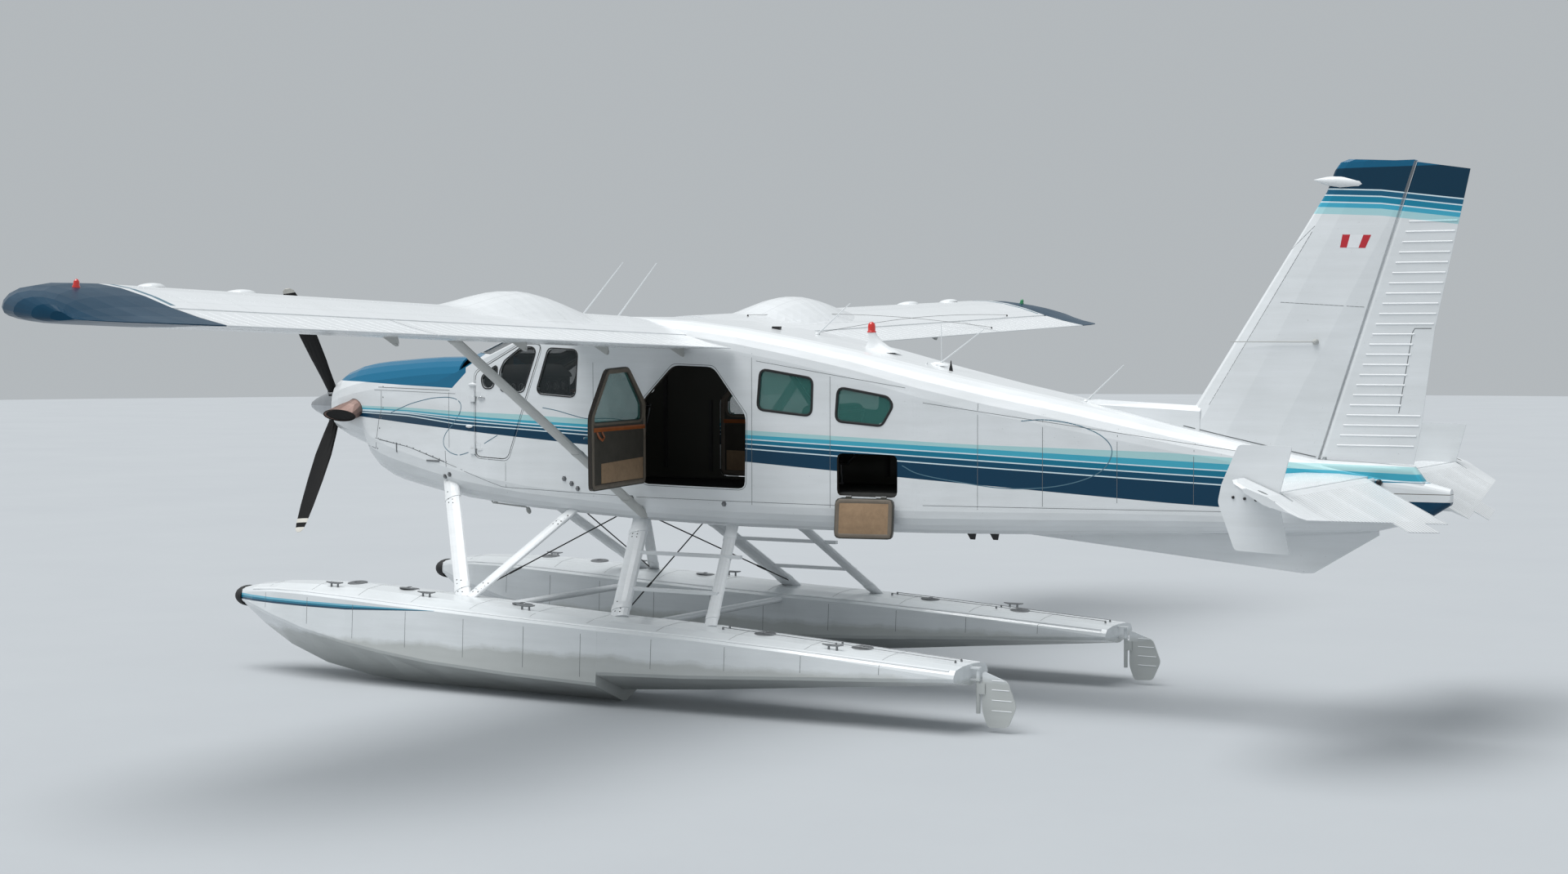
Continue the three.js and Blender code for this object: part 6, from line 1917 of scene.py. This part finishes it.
# %% Door linings
BAND = [(-0.017, -0.001), (-0.017, 0.006), (-0.012, 0.009), (0.012, 0.009), (0.017, 0.006), (0.017, -0.001)]
RIM = [(-0.009, -0.001), (-0.009, 0.005), (0.009, 0.005), (0.009, -0.001)]
TRIM_STRIP = [(-.017, -.001), (-.017, .009), (0, .013), (.017, .009), (.017, -.001)]
PULL_LOOP = [(-.045, .03, .004), (-.05, -.01, .022), (-.01, -.035, .026), (.035, -.01, .022),
             (.04, .03, .004)]
FRAME_INSET = .034
LININGS = {
    "cabin_door": {
        "edge": CABIN_DOOR, "window": "cabin_door_window",
        "panel": [(4.165, -.130), (5.050, -.130), (5.050, -.548), (4.165, -.540)],
        "pocket": [(4.180, -.352), (4.925, -.372), (4.925, -.530), (4.180, -.525)],
        "strip": [(4.155, -.100), (5.065, -.100)], "loop": (4.955, -.150)},
    "pilot_door": {
        "edge": PILOT_DOOR, "window": "pilot_window",
        "panel": [(2.410, .110), (2.850, .090), (2.690, -.360), (2.410, -.350)],
        "pocket": [(2.425, -.180), (2.690, -.180), (2.650, -.335), (2.425, -.330)],
        "strip": [(2.405, .150), (2.870, .130)], "loop": (2.800, .060)},
}


def inner_band(pile, corners, radius, out, section, side):
    """A closed band on the inner wall, following a rounded outline moved outward."""
    pile.strip(inner_line(evenly(grown(rounded(corners, radius), out), .03), side), section, loop=True)


for side_name, side in SIDES.items():
    for door, parts in LININGS.items():
        body = f"{door}_{side_name}"
        band, panel, pocket, trim = Pile(), Pile(), Pile(), Pile()
        inner_band(band, parts["edge"], .06, -FRAME_INSET, BAND, side)
        inner_band(band, MIRRORED_WINDOWS[parts["window"]][0], .05, .015, RIM, side)
        band.piece(f"{body}_inner_frame", body, "trim", door_frame)
        plate_on(panel, parts["panel"], side, 0.003)
        panel.piece(f"{body}_inner_panel", body, "trim", door_liner)
        plate_on(pocket, parts["pocket"], side, 0.006, 0.014)
        pocket.piece(f"{body}_pocket", body, "trim", tan_cloth)
        start, end = (Vector(corner) for corner in parts["strip"])
        trim.strip(inner_line([start.lerp(end, n / 12) for n in range(13)], side, 0.002), TRIM_STRIP)
        place, normal = inner_of(*parts["loop"], side)
        trim.tube([place + Vector((dx, 0, dz)) + normal * lift for dx, dz, lift in PULL_LOOP], .009, 8)
        trim.piece(f"{body}_strip_and_loop", body, "trim", wood)

# %% Hatch lining
hatch_band, hatch_pad = Pile(), Pile()
inner_band(hatch_band, HATCH, .05, -FRAME_INSET, BAND, -1)
hatch_band.piece("baggage_door_inner_frame", "baggage_door", "trim", door_frame)
plate_on(hatch_pad, [(5.965, -.330), (6.392, -.335), (6.392, -.585), (5.965, -.582)], -1, .006, .012)
hatch_pad.piece("baggage_door_liner", "baggage_door", "trim", tan_cloth)

# %% [markdown]
# ## Cabin walls and floor
# The cabin's frames stand proud of the lining every half metre or so. The floor has a ribbed rubber mat.

# %% Ribs and mat
RIB_STATIONS = [(3.02, -.50, .50), (3.55, -.52, .50), (4.02, -.54, .08), (5.17, -.54, .36), (5.78, -.54, .22)]
RIB = [(-.020, -.001), (-.014, .018), (.014, .018), (.020, -.001)]
ribs = Pile()
for side in SIDES.values():
    for x, low, high in RIB_STATIONS:
        ribs.strip(inner_line([Vector((x, z)) for z in np.linspace(low, high, 13)], side), RIB)
ribs.piece("cabin_ribs", "airframe", "trim", trim_grey)

FLOOR_TOP, MAT_RIBS, MAT_PITCH = -0.600, 40, .042
mat = Pile()
for n in range(MAT_RIBS):
    mat.slab(level_plate(at(3.435 + n * MAT_PITCH, 0, FLOOR_TOP + .001), .015, .46), UP, .004)
mat.slab(level_plate(at(4.25, 0, FLOOR_TOP + .0004), .85, .48), UP, .0015)
mat.piece("floor_mat", "airframe", "rubber", rubber)

# %% [markdown]
# ## Instrument panel and controls
# A black panel with round dials, a padded coaming over it, and a column in the middle whose arms carry a
# wheel for each pilot. The dials' marks are a look: a ring at one radius and a short needle, made from the
# place within each dial's cell; they carry no words.

# %% Dials
PANEL_FACE = 2.560
DIALS = [(y, z) for z in (.19, .06, -.07) for y in (-.44, -.32, -.20, .20, .32, .44)] + [(0, .19), (0, .06)]
BEZEL = [(.056, 0), (.056, .008), (.052, .013), (.047, .013), (.045, .006), (.010, .005)]
DIAL_WIDE, DIAL_HIGH = .12, .13


def dial_look(place, normal):
    _, y, z = stations_of(place)
    across = ((y + .02) / DIAL_WIDE + 10).maths("FRACT") - .5
    up = ((z + .005) / DIAL_HIGH + 10).maths("FRACT") - .5
    reach = (across * across * DIAL_WIDE ** 2 + up * up * DIAL_HIGH ** 2).maths("SQRT")
    ring = reach.near(.036, .0035, .001)
    hand = across.near(.06, .03, .02).both(1 - reach.past(.03))
    mark = ring.either(hand) * .8
    return {"Base Color": mark.pick(ink(14, 14, 15), ink(222, 222, 214)),
            "Roughness": place.noise(60, 2) * .2 + .2, "Normal": place.noise(300, 2).bump(.2, .0003)}


dial_face = finish_of("dial_face", dial_look, Coat_Weight=0.6)
bezels, faces = Pile(), Pile()
for y, z in DIALS:
    spot = at(PANEL_FACE, y, z)
    bezels.turn(spot, aft(1), BEZEL, 24)
    faces.turn(spot + aft(.0052), aft(1), [(.045, 0), (.045, .003), (.020, .0034)], 24)
bezels.piece("dial_bezels", "airframe", "trim", black_metal)
faces.piece("dial_faces", "airframe", "trim", dial_face)

# %% Column, wheels, coaming and pedals
PEDALS, WHEEL_GAP = (-.40, -.22, .22, .40), 38
COAMING_LINE = [(2.335, .374), (2.40, .377), (2.474, .372), (2.52, .336), (2.566, .300), (2.574, .272)]
COAMING = [(-.545, -.004), (-.545, .006), (-.50, .011), (.50, .011), (.545, .006), (.545, -.004)]
COAMING_UP = [(0, 1), (0, 1), (.3, 1), (.7, .7), (1, .4), (1, 0)]
controls = Pile()
hub = at(2.72, 0, -.02)
controls.tube([at(2.66, 0, FLOOR_TOP), at(2.68, 0, -.35), hub], .026, 14, scales=[1.5, 1, 1])
for side in (-1, 1):
    controls.tube([hub, at(2.74, side * .15, .0), at(2.74, side * .29, .02)], .017, 12)
    middle = at(2.80, side * .30, .03)
    controls.tube([at(2.735, side * .30, .02), middle], .020, 12)
    turns = [math.radians(a) for a in np.linspace(WHEEL_GAP, 360 - WHEEL_GAP, 29)]
    wheel = [middle + Vector((.012, .155 * math.sin(a), .135 * math.cos(a))) for a in turns]
    controls.tube(wheel, .0125, 10)
    controls.tube([wheel[0], middle, wheel[-1]], .0115, 8)
    controls.tube([middle, middle + Vector((.012, 0, -.13))], .011, 8)
for y in PEDALS:
    left, right = y - .04, y + .04
    corners = [at(2.30, left, -.50), at(2.30, right, -.50), at(2.34, right, -.40), at(2.34, left, -.40)]
    controls.slab(corners, (-1, 0, .4), .014)
    controls.tube([at(2.29, y, -.45), at(2.26, y, FLOOR_TOP + .01)], .011, 8)
controls.piece("control_column", "airframe", "trim", black_metal)
coaming = Pile()
coaming.sweep([at(x, 0, z) for x, z in COAMING_LINE], COAMING, [Vector((x, 0, z)) for x, z in COAMING_UP])
coaming.piece("panel_coaming", "airframe", "leather", trim_grey)

# %% [markdown]
# ## Padded seats
# Each seat is a welded frame with a bottom cushion and a back. A cushion is foam in a sewn cover: its
# faces crown, its sides pull in between the corners, and channels are stitched across it. A slightly
# smaller pad is remeshed evenly and blown up by Blender's cloth under pressure, with each point's travel
# capped; the stitched channels are pressed in afterwards, because a remesh would lose them.

# %% Cushion pads
VOXEL, PRESSURE, LAST_FRAME, TRAVEL_CAP = 0.008, 4.0, 20, 0.016
PULL_IN, EDGE_ROUND, SQUARENESS = 0.010, 0.022, 0.28
PAD_LAYERS = [(-.5, EDGE_ROUND), (-.42, .006), (-.2, 0), (.2, 0), (.42, .006), (.5, EDGE_ROUND)]


def pad_mesh(name, long, wide, thick):
    """A flat pad about the origin: X along, Y across and Z through it."""
    outline = []
    for c, s in around(72):
        x = math.copysign(abs(c) ** SQUARENESS, c)
        y = math.copysign(abs(s) ** SQUARENESS, s)
        outline.append((x * (long / 2 - PULL_IN * math.cos(math.pi * y / 2)),
                        y * (wide / 2 - PULL_IN * math.cos(math.pi * x / 2))))
    pad = Pile()
    pad.loft([[(x * (1 - 2 * inset / long), y * (1 - 2 * inset / wide), height * thick) for x, y in outline]
              for height, inset in PAD_LAYERS])
    mesh = bpy.data.meshes.new(name)
    mesh.from_pydata(pad.points, [], pad.faces)
    return mesh


def as_seen(holder):
    """The holder's mesh with its modifiers applied."""
    return bpy.data.meshes.new_from_object(holder.evaluated_get(bpy.context.evaluated_depsgraph_get()))


def blown_up(name, mesh):
    """The pad after an even remesh, cloth pressure and one subdivision."""
    holder = bpy.data.objects.new(f"{name}_work", mesh)
    scene.collection.objects.link(holder)
    even = holder.modifiers.new("even", "REMESH")
    even.mode, even.voxel_size = "VOXEL", VOXEL
    plain = as_seen(holder)
    holder.modifiers.clear()
    holder.data = plain
    start = [vertex.co.copy() for vertex in plain.vertices]
    cloth = holder.modifiers.new("cover", "CLOTH")
    cloth.settings.use_pressure = True
    cloth.settings.uniform_pressure_force = PRESSURE
    cloth.settings.effector_weights.gravity = 0
    cloth.point_cache.frame_start, cloth.point_cache.frame_end = 1, LAST_FRAME
    for frame in range(1, LAST_FRAME + 1):
        scene.frame_set(frame)
    plain = as_seen(holder)
    holder.modifiers.clear()
    scene.frame_set(1)
    for vertex, home in zip(plain.vertices, start):
        move = vertex.co - home
        vertex.co = home + move * min(1.0, TRAVEL_CAP / max(move.length, 1e-6))
    holder.data = plain
    finer = holder.modifiers.new("finer", "SUBSURF")
    finer.levels = finer.render_levels = 1
    made = as_seen(holder)
    bpy.data.objects.remove(holder)
    moved = max((vertex.co - home).length for vertex, home in zip(plain.vertices, start))
    print(f"{name}: swelled by up to {moved * 1000:.1f} mm")
    return made


# %% Stitching and placing
CHANNEL_DEPTH, CHANNEL_WIDTH = 0.007, 0.008


def cushion(name, mesh, foot, head, y, channels, lengthwise=()):
    """Presses the channels in, pipes the edge and lays the pad between its foot and head, both (x, z)."""
    for vertex in mesh.vertices:
        depth = max([math.exp(-((vertex.co.x - c) / CHANNEL_WIDTH) ** 2) for c in channels]
                    + [math.exp(-((vertex.co.y - c) / CHANNEL_WIDTH) ** 2) for c in lengthwise])
        vertex.co.z -= math.copysign(CHANNEL_DEPTH * depth, vertex.co.z)
    start, end = at(foot[0], 0, foot[1]), at(head[0], 0, head[1])
    along = (end - start).normalized()
    out = along.cross(Vector((0, 1, 0))).normalized()
    out = out if out.z > 0 else -out
    across = out.cross(along).normalized()
    turn = Matrix((along, across, out)).transposed().to_4x4()
    turn.translation = (start + end) / 2 + Vector((0, y, 0))
    ray_tree = BVHTree.FromPolygons([v.co for v in mesh.vertices], [list(p.vertices) for p in mesh.polygons])
    height = max(vertex.co.z for vertex in mesh.vertices) * .62
    piping = Pile()
    for level in (-height, height):
        loop = []
        for c, s in around(84):
            way = Vector((c, s, 0))
            met = ray_tree.ray_cast(way * 1.5 + UP * level, -way)[0]
            if met:
                loop.append(turn @ met)
        piping.tube(loop, .0042, 8, loop=True)
    piping.piece(f"{name}_piping", "airframe", "leather", trim_grey)
    mesh.transform(turn)
    return settle(name, mesh, "airframe", leather, 180)


# %% Seats
SEATS = [("pilot_seat", 3.330, -.300, .215), ("copilot_seat", 3.330, .300, .215),
         ("bench_seat", 5.500, .0, .500)]
SEAT_RAIL = [(-.48, -.405), (-.02, -.425), (.045, -.37), (.14, .04)]
SINGLE_HALF = .3
FOOT_PAD = [(.030, 0), (.028, .008)]
for name, back_x, y, half in SEATS:
    lengthwise = () if half < SINGLE_HALF else (-half / 3, half / 3)
    bottom = blown_up(f"{name}_bottom", pad_mesh(f"{name}_bottom", .43, 2 * half - .02, .085))
    foot, head = (back_x - .50, -.325), (back_x - .06, -.345)
    bottom = cushion(f"{name}_bottom", bottom, foot, head, y, (-.11, .03), lengthwise)
    back = blown_up(f"{name}_back", pad_mesh(f"{name}_back", .46, 2 * half - .03, .075))
    foot, head = (back_x - .02, -.345), (back_x + .085, .100)
    back = cushion(f"{name}_back", back, foot, head, y, (-.08, .08), lengthwise)
    for pad in (bottom, back):
        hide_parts(name)
    frame_tubes = Pile()
    for edge in (y - half * .8, y + half * .8):
        frame_tubes.tube([at(back_x + dx, edge, z) for dx, z in SEAT_RAIL], .011)
        for x in (back_x - .42, back_x - .08):
            frame_tubes.tube([at(x, edge, -.41), at(x + .01, edge, FLOOR_TOP + .004)], .011)
            frame_tubes.turn(at(x + .01, edge, FLOOR_TOP + .001), UP, FOOT_PAD, 14)
    for x, z in ((back_x - .46, -.408), (back_x - .04, -.424), (back_x + .135, .02)):
        frame_tubes.tube([at(x, y - half * .8, z), at(x, y + half * .8, z)], .010)
    frame_tubes.piece(f"{name}_frame", "airframe", "polished", steel)

# %% Belts
BELT = [(-.023, -.001), (-.023, .002), (.023, .002), (.023, -.001)]
BELT_PATH = [(-.05, .15, -.300), (-.16, .13, -.272), (-.28, .05, -.268)]
belts = Pile()
for name, back_x, y, half in SEATS:
    seats_across = [y] if half < SINGLE_HALF else [y - half * 2 / 3, y, y + half * 2 / 3]
    for centre in seats_across:
        for way in (-1, 1):
            belts.sweep([at(back_x + dx, centre + way * off, z) for dx, off, z in BELT_PATH], BELT, UP)
        belts.slab(level_plate(at(back_x - .28, centre, -.266), .03, .03), UP, .010)
belts.piece("seat_belts", "airframe", "trim", belt_grey)

# %% [markdown]
